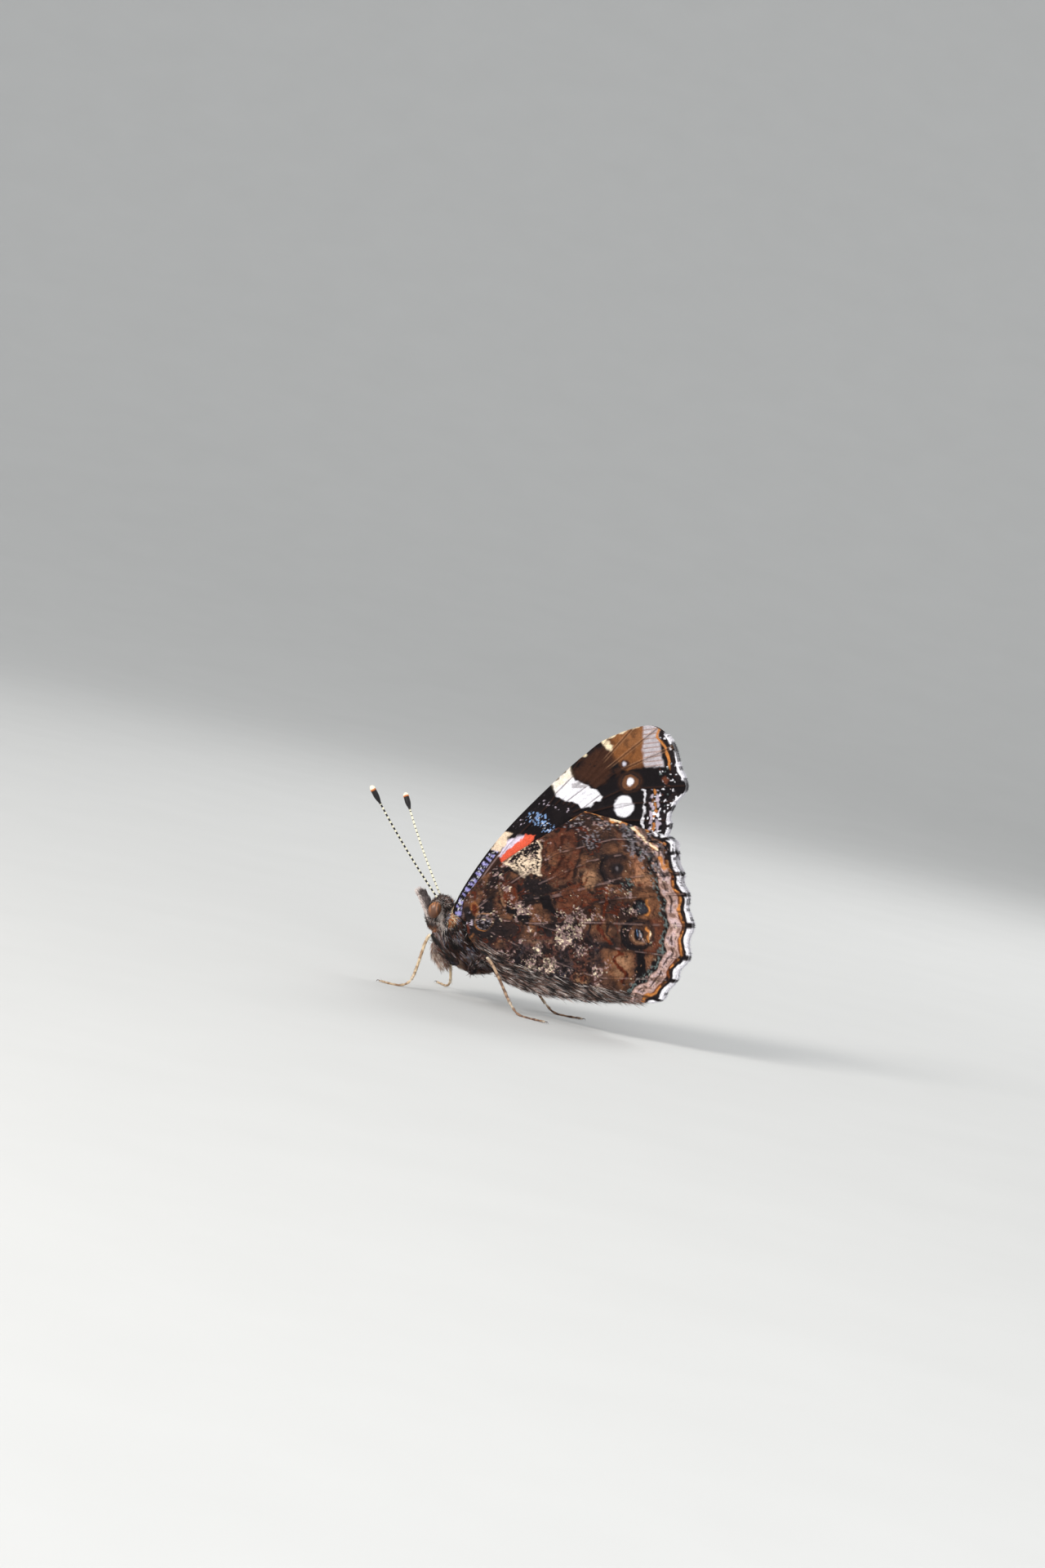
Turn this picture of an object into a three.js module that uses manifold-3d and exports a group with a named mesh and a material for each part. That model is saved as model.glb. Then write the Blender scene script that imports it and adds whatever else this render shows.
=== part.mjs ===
// Red admiral butterfly at rest with its wings closed over its back.
// Millimetres. X runs along the floor with the head at -X, Y runs across with the
// animal's left side at -Y, Z runs up from the floor.

import * as THREE from 'three';
import { mergeVertices } from 'three/addons/utils/BufferGeometryUtils.js';
import Module from 'manifold-3d';

const wasm = await Module();
wasm.setup();

// Fits between neighbours.
const GAP = 0.3;
const WELD = 1e-4;

// Thorax, an egg that is tilted head up.
const THORAX = { at: [-5.35, 0, 6.6], half: [4.2, 2.45, 3.35], tilt: 31 };

// Abdomen, nearly level between the hindwings.
const ABDOMEN_FRONT = [-3.4, 0, 5.3];
const ABDOMEN_TIP = [9.6, 0, 4.7];
const ABDOMEN_RADIUS = 1.85;
const ABDOMEN_RINGS = 7;
const RING_DEPTH = 0.025;
const GIRTH = { from: 0.2, to: 0.97, power: 0.55 };

// Head, eyes, palps and antennae.
const HEAD = { at: [-9.75, 0, 8.45], half: [1.45, 1.35, 1.95], tilt: 12 };
const EYE = { at: [-9.95, 1.3, 8.95], half: [0.8, 0.72, 1.2], tilt: 14 };
const PALP_ROOT = [-10.3, 0.62, 7.0];
const PALP_TIP = [-12.35, 0.5, 10.64];
const PALP_RADIUS = 0.46;
const PALP_BEND = [-0.5, 0, -0.3];
const PALP_TAPER = 0.6;
const ANTENNA_ROOT = [-9.9, 0.7, 9.9];
const ANTENNA_TIPS = { left: [-19.4, 4.4, 20.87], right: [-17.95, 4.4, 20.43] };
const ANTENNA_SAG = 0.35;
const ANTENNA_RADIUS = 0.26;
const CLUB_RADIUS = 0.52;
const CLUB_LENGTH = 0.15;

// Brush feet under the chin.
const BRUSH_ROOT = [-9.35, 1.0, 5.9];
const BRUSH_TIP = [-7.75, 1.25, 2.35];
const BRUSH_RADIUS = 0.55;
const BRUSH_BEND = [-0.5, 0, -0.4];
const BRUSH_TAPER = 0.5;

// Walking legs: hip, knee, ankle, sole and toe of each, on the right side of the body.
// FEMUR_RADIUS is at the hip and TOE_RADIUS at the toe.
const FEMUR_RADIUS = 0.42;
const TOE_RADIUS = 0.25;
const SOLE = 0.18;
const JOINT_CUT = 1.6;
const LEG_BLUNT = 0.03;
const LEGS = {
  mid_leg_left: {
    side: -1,
    path: [[-5.9, 1.5, 3.5], [-7.4, 2.9, 4.6], [-9.2, 3.3, 6.2], [-9.9, 4.9, 0.9],
      [-10.6, 5.8, SOLE], [-12.9, 6.9, SOLE]],
  },
  mid_leg_right: {
    side: 1,
    path: [[-5.9, 1.5, 3.5], [-7.2, 2.9, 4.5], [-8.7, 3.3, 5.8], [-8.1, 4.7, 0.9],
      [-8.6, 5.6, SOLE], [-10.2, 6.8, SOLE]],
  },
  hind_leg_left: {
    side: -1,
    path: [[-4.2, 1.5, 3.0], [-3.4, 3.7, 4.0], [-2.1, 4.5, 5.3], [2.1, 5.3, 0.9],
      [3.2, 5.7, SOLE], [6.6, 6.6, SOLE]],
  },
  hind_leg_right: {
    side: 1,
    path: [[-4.2, 1.5, 3.0], [-3.3, 3.7, 4.0], [-1.8, 4.6, 5.1], [3.3, 5.0, 0.9],
      [4.4, 5.3, SOLE], [7.6, 6.2, SOLE]],
  },
};
const LEG_PIECES = ['femur', 'tibia', 'tarsus'];
const KNEE = 2;
const ANKLE = 3;

// Wings: thickness of the membrane, height and width of a vein, and the lateral places.
const MEMBRANE = 0.5;
const VEIN_RISE = 0.15;
const VEIN_FLANK = 0.16;
const WING_ROWS = 10;
const FORE_INNER = 0.1;
const HIND_INNER = 1.05;
const ROOT_SPREAD = 1.75;
const ROOT_REACH = 4.0;
const FOLD_SPREAD = 1.35;
const FOLD_REACH = 4.6;
const ROOT_PIVOT = [-7.24, 8.54];

// Beyond the hind edge of the forewing the two hindwings come closer together.
const CLOSED_INNER = 0.35;
const CLOSING = { below: 1, over: 5, out: 9, along: 6 };

// Each vein ends at its tip on the margin. Its bow lifts it towards the front edge,
// early moves that bow towards the root, and dip is the scallop between it and the next.
const FOREWING = {
  rootFront: [-7.55, 8.95],
  rootBack: [-5.7, 8.45],
  veins: [
    { name: 'costa', tip: [1.5, 27.8], bow: 1.5, early: 0.7, dip: 0 },
    { name: 'subcosta', tip: [2.7, 29.3], bow: 1.45, early: 0.75, dip: 0 },
    { name: 'radius_1', tip: [4.6, 31.5], bow: 1.35, early: 0.8, dip: 0 },
    { name: 'radius_2', tip: [7.9, 33.7], bow: 1.2, early: 0.85, dip: 0 },
    { name: 'radius_3', tip: [10.2, 34.2], bow: 1.05, early: 0.9, dip: 0 },
    { name: 'radius_4', tip: [12.5, 32.5], bow: 0.9, early: 1, dip: 0.25 },
    { name: 'media_1', tip: [14.8, 28.5], bow: 0.7, early: 1, dip: 0.35 },
    { name: 'media_2', tip: [13.8, 25.9], bow: 0.3, early: 1, dip: 0.3 },
    { name: 'media_3', tip: [14.0, 23.9], bow: -0.1, early: 1, dip: 0.3 },
    { name: 'cubitus_1', tip: [14.1, 21.9], bow: -0.4, early: 1, dip: 0.3 },
    { name: 'cubitus_2', tip: [13.7, 20.1], bow: -0.7, early: 1, dip: 0 },
    { name: 'anal', tip: [11.9, 18.6], bow: -0.5, early: 1, dip: 0 },
  ],
};
const HINDWING = {
  rootFront: [-6.1, 9.3],
  rootBack: [-4.9, 7.0],
  veins: [
    { name: 'costa', tip: [4.4, 23.4], bow: 1.95, early: 0.5, dip: 0 },
    { name: 'subcosta', tip: [9.2, 23.2], bow: 2.0, early: 0.6, dip: 0 },
    { name: 'radius', tip: [14.3, 22.6], bow: 1.5, early: 0.7, dip: 0 },
    { name: 'radius_sector', tip: [15.3, 21.2], bow: 1.3, early: 0.8, dip: 0.2 },
    { name: 'media_1', tip: [16.4, 19.1], bow: 1.0, early: 0.9, dip: 0.3 },
    { name: 'media_2', tip: [17.6, 17.0], bow: 0.7, early: 1, dip: 0.3 },
    { name: 'media_3', tip: [18.9, 13.8], bow: 0.3, early: 1, dip: 0.4 },
    { name: 'cubitus_1', tip: [19.3, 10.2], bow: -0.2, early: 1, dip: 0.35 },
    { name: 'cubitus_2', tip: [18.4, 7.4], bow: -0.5, early: 1, dip: 0.3 },
    { name: 'anal_1', tip: [17.2, 4.9], bow: -0.5, early: 1, dip: 0 },
    { name: 'anal_2', tip: [13.4, 3.9], bow: -0.4, early: 1, dip: 0 },
    { name: 'fold_1', tip: [7.6, 3.0], bow: -0.2, early: 1, dip: 0 },
    { name: 'fold_2', tip: [2.6, 2.6], bow: 0, early: 1, dip: 0 },
    { name: 'fold_3', tip: [-0.9, 3.2], bow: 0, early: 1, dip: 0 },
  ],
};
const FORE_HINGE = { at: [-7.1, 1.75, 8.9], half: [0.95, 0.75, 0.95], tilt: 0 };
const HIND_HINGE = { at: [-4.55, 2.35, 7.0], half: [0.85, 0.85, 0.85], tilt: 0 };

const COLOURS = {
  forewing: { color: 0x2a2023, roughness: 0.75 },
  hindwing: { color: 0x5a3f34, roughness: 0.8 },
  body: { color: 0x4a3a34, roughness: 0.95 },
  head: { color: 0x6f625c, roughness: 0.95 },
  brush: { color: 0x9a7264, roughness: 0.95 },
  eye: { color: 0x7a4526, roughness: 0.35 },
  antenna: { color: 0x1c1816, roughness: 0.55 },
  leg: { color: 0xcdb594, roughness: 0.6 },
};

const mix = (a, b, t) => a + (b - a) * t;
const smooth = (t) => {
  const s = Math.min(1, Math.max(0, t));
  return s * s * (3 - 2 * s);
};
const vector = (p, side = 1) => new THREE.Vector3(p[0], p[1] * side, p[2]);

// Turns a welded geometry into a solid and back again.
function toSolid(geometry) {
  const bare = geometry.clone();
  bare.deleteAttribute('normal');
  bare.deleteAttribute('uv');
  const welded = mergeVertices(bare, WELD);
  const mesh = new wasm.Mesh({
    numProp: 3,
    vertProperties: new Float32Array(welded.attributes.position.array),
    triVerts: new Uint32Array(welded.index.array),
  });
  return new wasm.Manifold(mesh);
}

function toGeometry(solid) {
  const mesh = solid.getMesh();
  const geometry = new THREE.BufferGeometry();
  geometry.setAttribute('position', new THREE.BufferAttribute(mesh.vertProperties, 3));
  geometry.setIndex(new THREE.BufferAttribute(mesh.triVerts, 1));
  geometry.computeVertexNormals();
  return geometry;
}

// Keeps the largest closed surface of a cut solid.
function largest(solid) {
  return solid.decompose().reduce((a, b) => (a.volume() > b.volume() ? a : b));
}

// Egg with three half axes, tilted about Y, and grown on all sides by an allowance.
function egg(shape, side = 1, grow = 0, around = 20, down = 14) {
  const geometry = new THREE.SphereGeometry(1, around, down);
  geometry.rotateX(Math.PI / 2);
  geometry.scale(shape.half[0] + grow, shape.half[1] + grow, shape.half[2] + grow);
  geometry.rotateY(THREE.MathUtils.degToRad(shape.tilt));
  geometry.translate(shape.at[0], shape.at[1] * side, shape.at[2]);
  return toSolid(geometry);
}

// Rod of round section along a curve. The radius is a function of the way along it.
function rod(curve, radiusAt, steps, sides) {
  const frames = curve.computeFrenetFrames(steps, false);
  const positions = [];
  const index = [];
  const ring = (k) => 1 + k * sides;
  const start = curve.getPointAt(0);
  positions.push(start.x, start.y, start.z);
  for (let k = 0; k < steps - 1; k += 1) {
    const t = (k + 1) / steps;
    const centre = curve.getPointAt(t);
    const radius = radiusAt(t);
    for (let s = 0; s < sides; s += 1) {
      const angle = (2 * Math.PI * s) / sides;
      const point = centre.clone()
        .addScaledVector(frames.normals[k + 1], radius * Math.cos(angle))
        .addScaledVector(frames.binormals[k + 1], radius * Math.sin(angle));
      positions.push(point.x, point.y, point.z);
    }
  }
  const end = curve.getPointAt(1);
  positions.push(end.x, end.y, end.z);
  const last = positions.length / 3 - 1;
  for (let s = 0; s < sides; s += 1) {
    const n = (s + 1) % sides;
    index.push(0, ring(0) + n, ring(0) + s);
    for (let k = 0; k < steps - 2; k += 1) {
      index.push(ring(k) + s, ring(k) + n, ring(k + 1) + n);
      index.push(ring(k) + s, ring(k + 1) + n, ring(k + 1) + s);
    }
    index.push(ring(steps - 2) + s, ring(steps - 2) + n, last);
  }
  const geometry = new THREE.BufferGeometry();
  geometry.setAttribute('position', new THREE.Float32BufferAttribute(positions, 3));
  geometry.setIndex(index);
  return toSolid(geometry);
}

// Rounded taper from the first radius to the second, with blunt ends.
const taper = (first, second, blunt = 0.12) => (t) => {
  const end = Math.min(1, t / blunt, (1 - t) / blunt);
  return mix(first, second, t) * Math.sqrt(1 - (1 - end) * (1 - end));
};

// Leaves a small flat where a foot stands on the floor.
const floorBlock = toSolid(new THREE.BoxGeometry(60, 40, 4).translate(0, 0, -2));

// Bent rod between two points that narrows to a share of its first radius.
function limb(from, to, side, radius, share, bend) {
  const a = vector(from, side);
  const b = vector(to, side);
  const middle = a.clone().lerp(b, 0.5).add(vector(bend, side));
  const curve = new THREE.QuadraticBezierCurve3(a, middle, b);
  return rod(curve, taper(radius, radius * share), 10, 8);
}

// Thin shaft that swells to a blunt club at its end.
function antennaSolid(word, side) {
  const root = vector(ANTENNA_ROOT, side);
  const end = vector(ANTENNA_TIPS[word], side);
  const sag = new THREE.Vector3(-ANTENNA_SAG, 0, -ANTENNA_SAG);
  const middle = root.clone().lerp(end, 0.5).add(sag);
  const radius = (t) => {
    const share = (t - 1) / CLUB_LENGTH + 1;
    const swell = (CLUB_RADIUS - ANTENNA_RADIUS) * smooth(share / 0.5);
    const close = Math.min(1, (1 - share) / 0.6);
    return (ANTENNA_RADIUS + swell) * Math.sqrt(1 - (1 - close) ** 2);
  };
  return rod(new THREE.QuadraticBezierCurve3(root, middle, end), radius, 28, 8);
}

// How far from the middle plane each wing lies at a place in side view.
function foreSpread(x, z) {
  const reach = Math.hypot(x - ROOT_PIVOT[0], z - ROOT_PIVOT[1]) / ROOT_REACH;
  return FORE_INNER + ROOT_SPREAD * Math.exp(-reach * reach);
}

// 0 over the forewing and near the body, 1 where the hindwings face each other.
function closing(x, z) {
  const hindTip = FOREWING.veins.at(-1).tip;
  const edge = [hindTip[0] - ROOT_PIVOT[0], hindTip[1] - ROOT_PIVOT[1]];
  const from = [x - ROOT_PIVOT[0], z - ROOT_PIVOT[1]];
  const below = (from[0] * edge[1] - from[1] * edge[0]) / Math.hypot(...edge);
  const out = Math.hypot(...from);
  return smooth((below - CLOSING.below) / CLOSING.over) * smooth((out - CLOSING.out) / CLOSING.along);
}

function hindSpread(x, z) {
  const length = ABDOMEN_TIP[0] - ABDOMEN_FRONT[0];
  const along = THREE.MathUtils.clamp((x - ABDOMEN_FRONT[0]) / length, 0, 1);
  const axisX = mix(ABDOMEN_FRONT[0], ABDOMEN_TIP[0], along);
  const axisZ = mix(ABDOMEN_FRONT[2], ABDOMEN_TIP[2], along);
  const away = Math.hypot(x - axisX, z - axisZ);
  const fold = smooth((FOLD_REACH - away) / (FOLD_REACH - ABDOMEN_RADIUS));
  const inner = mix(HIND_INNER, CLOSED_INNER, closing(x, z));
  return foreSpread(x, z) - FORE_INNER + mix(inner, HIND_INNER + FOLD_SPREAD, fold);
}

// Point of a vein at the way t from root to margin, in side view.
function veinPoint(plan, i, t) {
  const vein = plan.veins[i];
  const share = i / (plan.veins.length - 1);
  const rootX = mix(plan.rootFront[0], plan.rootBack[0], share);
  const rootZ = mix(plan.rootFront[1], plan.rootBack[1], share);
  const alongX = vein.tip[0] - rootX;
  const alongZ = vein.tip[1] - rootZ;
  const length = Math.hypot(alongX, alongZ);
  const lift = vein.bow * Math.sin(Math.PI * Math.pow(t, vein.early));
  return [
    rootX + alongX * t - (alongZ / length) * lift,
    rootZ + alongZ * t + (alongX / length) * lift,
  ];
}

// Columns of the wing: the crest of each vein, its two flanks, and the scallop between.
function wingColumns(plan) {
  const columns = [];
  const count = plan.veins.length;
  for (let i = 0; i < count; i += 1) {
    if (i > 0) columns.push({ u: i - VEIN_FLANK, crest: 0 });
    columns.push({ u: i, crest: i > 0 && i < count - 1 ? 1 : 0 });
    if (i < count - 1) {
      columns.push({ u: i + VEIN_FLANK, crest: 0 });
      columns.push({ u: i + 0.5, crest: 0 });
    }
  }
  return columns;
}

function wingPoint(plan, u, t) {
  const i = Math.min(Math.floor(u), plan.veins.length - 2);
  const f = u - i;
  const dip = plan.veins[i].dip * Math.sin(Math.PI * f) ** 2;
  const length = Math.hypot(
    plan.veins[i].tip[0] - plan.rootFront[0],
    plan.veins[i].tip[1] - plan.rootFront[1],
  );
  const way = t - (dip / length) * t ** 4;
  const a = veinPoint(plan, i, way);
  const b = veinPoint(plan, i + 1, way);
  return [mix(a[0], b[0], f), mix(a[1], b[1], f)];
}

// Thin vane with both faces split alike. The outer face carries the veins.
function wingSolid(plan, spread, side) {
  const columns = wingColumns(plan);
  const wide = columns.length;
  const inner = [];
  const outer = [];
  for (let j = 0; j <= WING_ROWS; j += 1) {
    const t = j / WING_ROWS;
    columns.forEach((column) => {
      const [x, z] = wingPoint(plan, column.u, t);
      const y = spread(x, z);
      const rise = column.crest * VEIN_RISE * (1 - 0.5 * t);
      inner.push(x, y * side, z);
      outer.push(x, (y + MEMBRANE + rise) * side, z);
    });
  }
  const index = [];
  const back = inner.length / 3;
  const face = (a, b, c) => (side > 0 ? index.push(a, b, c) : index.push(a, c, b));
  const at = (j, i) => j * wide + i;
  for (let j = 0; j < WING_ROWS; j += 1) {
    for (let i = 0; i < wide - 1; i += 1) {
      const a = at(j, i);
      const b = at(j, i + 1);
      const c = at(j + 1, i + 1);
      const d = at(j + 1, i);
      face(a, b, c);
      face(a, c, d);
      face(back + a, back + c, back + b);
      face(back + a, back + d, back + c);
    }
  }
  const rim = [];
  for (let i = 0; i < wide; i += 1) rim.push(at(0, i));
  for (let j = 1; j <= WING_ROWS; j += 1) rim.push(at(j, wide - 1));
  for (let i = wide - 2; i >= 0; i -= 1) rim.push(at(WING_ROWS, i));
  for (let j = WING_ROWS - 1; j > 0; j -= 1) rim.push(at(j, 0));
  rim.forEach((a, k) => {
    const b = rim[(k + 1) % rim.length];
    face(a, back + a, back + b);
    face(a, back + b, b);
  });
  const geometry = new THREE.BufferGeometry();
  geometry.setAttribute('position', new THREE.Float32BufferAttribute(inner.concat(outer), 3));
  geometry.setIndex(index);
  return toSolid(geometry);
}

// Body.
const thorax = egg(THORAX, 1, 0, 24, 16);
const thoraxRoom = egg(THORAX, 1, GAP, 24, 16);

function abdomenSolid() {
  const curve = new THREE.LineCurve3(vector(ABDOMEN_FRONT), vector(ABDOMEN_TIP));
  const radius = (t) => {
    const arch = Math.sin(Math.PI * mix(GIRTH.from, GIRTH.to, t));
    const rings = 1 + RING_DEPTH * Math.cos(2 * Math.PI * ABDOMEN_RINGS * t);
    return ABDOMEN_RADIUS * Math.pow(arch, GIRTH.power) * rings;
  };
  return largest(rod(curve, radius, 24, 14).subtract(thoraxRoom));
}

const eyes = [-1, 1].map((side) => egg(EYE, side, 0, 16, 12));
const eyeRooms = [-1, 1].map((side) => egg(EYE, side, GAP, 16, 12));
const headRoom = egg(HEAD, 1, GAP);
const head = largest(egg(HEAD).subtract(thoraxRoom).subtract(eyeRooms[0]).subtract(eyeRooms[1]));

const pieces = [];
const add = (name, solid, colour) => pieces.push({ name, solid, colour });

add('thorax', thorax, 'body');
add('abdomen', abdomenSolid(), 'body');
add('head', head, 'head');

// Paired pieces, first on the left and then on the right.
[['left', -1], ['right', 1]].forEach(([word, side], k) => {
  add(`eye_${word}`, eyes[k], 'eye');

  const palp = limb(PALP_ROOT, PALP_TIP, side, PALP_RADIUS, PALP_TAPER, PALP_BEND);
  add(`palp_${word}`, largest(palp.subtract(headRoom).subtract(eyeRooms[k])), 'head');

  const antenna = antennaSolid(word, side).subtract(headRoom).subtract(eyeRooms[k]);
  add(`antenna_${word}`, largest(antenna), 'antenna');

  const brush = limb(BRUSH_ROOT, BRUSH_TIP, side, BRUSH_RADIUS, BRUSH_TAPER, BRUSH_BEND);
  add(`foreleg_${word}`, largest(brush.subtract(thoraxRoom).subtract(headRoom)), 'brush');

  const foreHinge = egg(FORE_HINGE, side, 0, 12, 8);
  const forewing = wingSolid(FOREWING, foreSpread, side).add(foreHinge).subtract(thoraxRoom);
  add(`forewing_${word}`, largest(forewing), 'forewing');

  const hindHinge = egg(HIND_HINGE, side, 0, 12, 8);
  const hindwing = wingSolid(HINDWING, hindSpread, side).add(hindHinge).subtract(thoraxRoom);
  add(`hindwing_${word}`, largest(hindwing), 'hindwing');
});

// Slab that parts two pieces of a leg, square to the way the leg turns there.
function jointSlab(points, k) {
  const before = points[k].clone().sub(points[k - 1]).normalize();
  const after = points[k + 1].clone().sub(points[k]).normalize();
  const slab = new THREE.BoxGeometry(JOINT_CUT, JOINT_CUT, GAP);
  const turn = new THREE.Quaternion().setFromUnitVectors(
    new THREE.Vector3(0, 0, 1),
    before.add(after).normalize(),
  );
  slab.applyQuaternion(turn);
  slab.translate(points[k].x, points[k].y, points[k].z);
  return toSolid(slab);
}

// Walking legs, each one rod that is parted at the knee and the ankle.
Object.entries(LEGS).forEach(([name, leg]) => {
  const points = leg.path.map((p) => vector(p, leg.side));
  const curve = new THREE.CatmullRomCurve3(points, false, 'centripetal');
  const whole = rod(curve, taper(FEMUR_RADIUS, TOE_RADIUS, LEG_BLUNT), 36, 8)
    .subtract(thoraxRoom)
    .subtract(floorBlock);
  const parts = largest(whole)
    .subtract(jointSlab(points, KNEE))
    .subtract(jointSlab(points, ANKLE))
    .decompose()
    .sort((a, b) => b.volume() - a.volume())
    .slice(0, LEG_PIECES.length);
  const reach = (part) => {
    const box = part.boundingBox();
    const middle = vector(box.min).add(vector(box.max)).multiplyScalar(0.5);
    const distances = points.map((p) => p.distanceTo(middle));
    return distances.indexOf(Math.min(...distances));
  };
  parts.sort((a, b) => reach(a) - reach(b));
  parts.forEach((part, k) => add(`${name}_${LEG_PIECES[k]}`, part, 'leg'));
});

// The middle of the whole animal is put over the origin.
const boxes = pieces.map(({ solid }) => solid.boundingBox());
const [middleX, middleY] = [0, 1].map((axis) => {
  const low = Math.min(...boxes.map((box) => box.min[axis]));
  const high = Math.max(...boxes.map((box) => box.max[axis]));
  return (low + high) / 2;
});
const group = new THREE.Group();
group.name = 'red_admiral';
pieces.forEach(({ name, solid: placed, colour }) => {
  const solid = placed.translate([-middleX, -middleY, 0]);
  const paint = COLOURS[colour];
  const material = new THREE.MeshStandardMaterial({
    color: paint.color,
    roughness: paint.roughness,
    metalness: 0,
  });
  material.name = colour;
  const mesh = new THREE.Mesh(toGeometry(solid), material);
  mesh.name = name;
  group.add(mesh);
});

export default group;
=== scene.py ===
# %% Load the frame
import math

import bpy
import numpy as np
from mathutils import Matrix, Vector


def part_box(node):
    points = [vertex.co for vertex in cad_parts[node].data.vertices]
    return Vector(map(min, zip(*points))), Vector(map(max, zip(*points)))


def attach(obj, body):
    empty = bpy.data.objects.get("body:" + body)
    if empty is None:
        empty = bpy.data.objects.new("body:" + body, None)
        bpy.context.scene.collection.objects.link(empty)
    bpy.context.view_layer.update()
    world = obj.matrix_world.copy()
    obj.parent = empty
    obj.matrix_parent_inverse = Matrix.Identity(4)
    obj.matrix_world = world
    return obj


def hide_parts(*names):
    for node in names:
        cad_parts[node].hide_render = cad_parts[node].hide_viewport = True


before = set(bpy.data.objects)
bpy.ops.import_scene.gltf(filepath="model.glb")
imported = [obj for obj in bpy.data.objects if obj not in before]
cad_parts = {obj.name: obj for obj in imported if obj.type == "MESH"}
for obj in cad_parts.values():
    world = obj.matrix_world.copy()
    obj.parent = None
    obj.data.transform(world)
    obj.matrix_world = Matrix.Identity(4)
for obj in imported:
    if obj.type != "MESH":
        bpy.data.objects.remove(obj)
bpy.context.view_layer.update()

# %% [markdown]
# # A red admiral at rest
# The notebook builds a life-size butterfly with its wings closed over its back. The sizes of
# the animal are in millimetres, and its meshes are shrunk to metres when they are finished,
# so the numbers can be read like the labels on a drawing. Lights and floor are in metres.

# %% Named sizes
MM = 0.001

# The CAD is centred over the origin, and these two offsets put the drawing there too.
PLANE_Y = (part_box("hindwing_left")[0][1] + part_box("hindwing_right")[1][1]) / 2 / MM
HINDWING_TIP_X = 19.3
SHIFT_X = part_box("hindwing_left")[1][0] / MM - HINDWING_TIP_X
print("offsets", round(SHIFT_X, 3), round(PLANE_Y, 3))

# %% [markdown]
# ## The drawing sheet
# The marks of the wings are laid out on a drawing sheet with eleven units to the millimetre.
# The sheet stands square to the camera, which looks a little from behind and a little from
# above, and it is rolled because the animal stood on a slope.

# %% The drawing sheet and the camera's directions
UNITS = 11.0
AZIMUTH = math.radians(15)
ELEVATION = math.radians(3)
ROLL = math.radians(12.5)
SHEET_ORIGIN = (645.0, 1224.0)
SHEET_FLOOR = (2.3, 1.4)
SHEET_SIZE = (1280, 1920)


def to_sheet(x, y, z):
    """Sheet place of a point, for arrays of millimetres in the CAD's directions."""
    px = x - SHIFT_X - SHEET_FLOOR[0]
    pz = z - SHEET_FLOOR[1]
    along = px * math.cos(AZIMUTH) + y * math.sin(AZIMUTH)
    deep = -px * math.sin(AZIMUTH) + y * math.cos(AZIMUTH)
    up = pz * math.cos(ELEVATION) + deep * math.sin(ELEVATION)
    u = SHEET_ORIGIN[0] + UNITS * (along * math.cos(ROLL) + up * math.sin(ROLL))
    v = SHEET_ORIGIN[1] + UNITS * (along * math.sin(ROLL) - up * math.cos(ROLL))
    return u, v


# %% [markdown]
# ## Colour and noise
# Colours are written as the eye sees them and turned into light values once. The noise is a
# small table of random heights, read between its points. Adding layers of it at ever finer
# sizes gives the clouds and flecks of the scales.

# %% Colour and noise helpers
def rgb(red, green, blue):
    """Light values of a colour given from 0 to 255 as seen on a screen."""
    c = np.array([red, green, blue]) / 255.0
    return np.where(c <= 0.04045, c / 12.92, ((c + 0.055) / 1.055) ** 2.4)


def smooth(low, high, x):
    """Soft step from 0 at low to 1 at high, also downwards."""
    t = np.clip((x - low) / (high - low), 0, 1)
    return t * t * (3 - 2 * t)


def mix(base, other, share):
    """Blend of two tones or directions, with share as the part of the other one."""
    return base * (1 - share) + np.asarray(other) * share


def noise(u, v, size, seed):
    """Soft noise from 0 to 1 whose blotches are about size units wide."""
    table = np.random.RandomState(seed).rand(64, 64)
    x, y = u / size, v / size
    xi, yi = np.floor(x).astype(int), np.floor(y).astype(int)
    fx, fy = x - xi, y - yi
    fx, fy = fx * fx * (3 - 2 * fx), fy * fy * (3 - 2 * fy)
    a, b = table[yi % 64, xi % 64], table[yi % 64, (xi + 1) % 64]
    c, d = table[(yi + 1) % 64, xi % 64], table[(yi + 1) % 64, (xi + 1) % 64]
    return (a * (1 - fx) + b * fx) * (1 - fy) + (c * (1 - fx) + d * fx) * fy


def clouds(u, v, size, seed, layers=3):
    """Noise in layers, each half the size of the last."""
    total, weight, strength = 0, 0, 1.0
    for k in range(layers):
        total = total + strength * noise(u + 17 * k, v - 11 * k, size / 2 ** k, seed + k)
        weight += strength
        strength *= 0.55
    return total / weight


def line_distance(u, v, points):
    """Distance from each place to a bent line."""
    best = np.full(u.shape, 1e9)
    for (ax, ay), (bx, by) in zip(points[:-1], points[1:]):
        dx, dy = bx - ax, by - ay
        t = np.clip(((u - ax) * dx + (v - ay) * dy) / (dx * dx + dy * dy + 1e-9), 0, 1)
        best = np.minimum(best, np.hypot(u - ax - t * dx, v - ay - t * dy))
    return best


def patch_distance(u, v, corners):
    """Distance outside a patch, negative inside it."""
    inside = np.zeros(u.shape, bool)
    closed = list(corners) + [corners[0]]
    for (ax, ay), (bx, by) in zip(closed[:-1], closed[1:]):
        if ay == by:
            continue
        crosses = ((ay > v) != (by > v)) & (u < (bx - ax) * (v - ay) / (by - ay) + ax)
        inside ^= crosses
    edge = line_distance(u, v, closed)
    return np.where(inside, -edge, edge)


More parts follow.
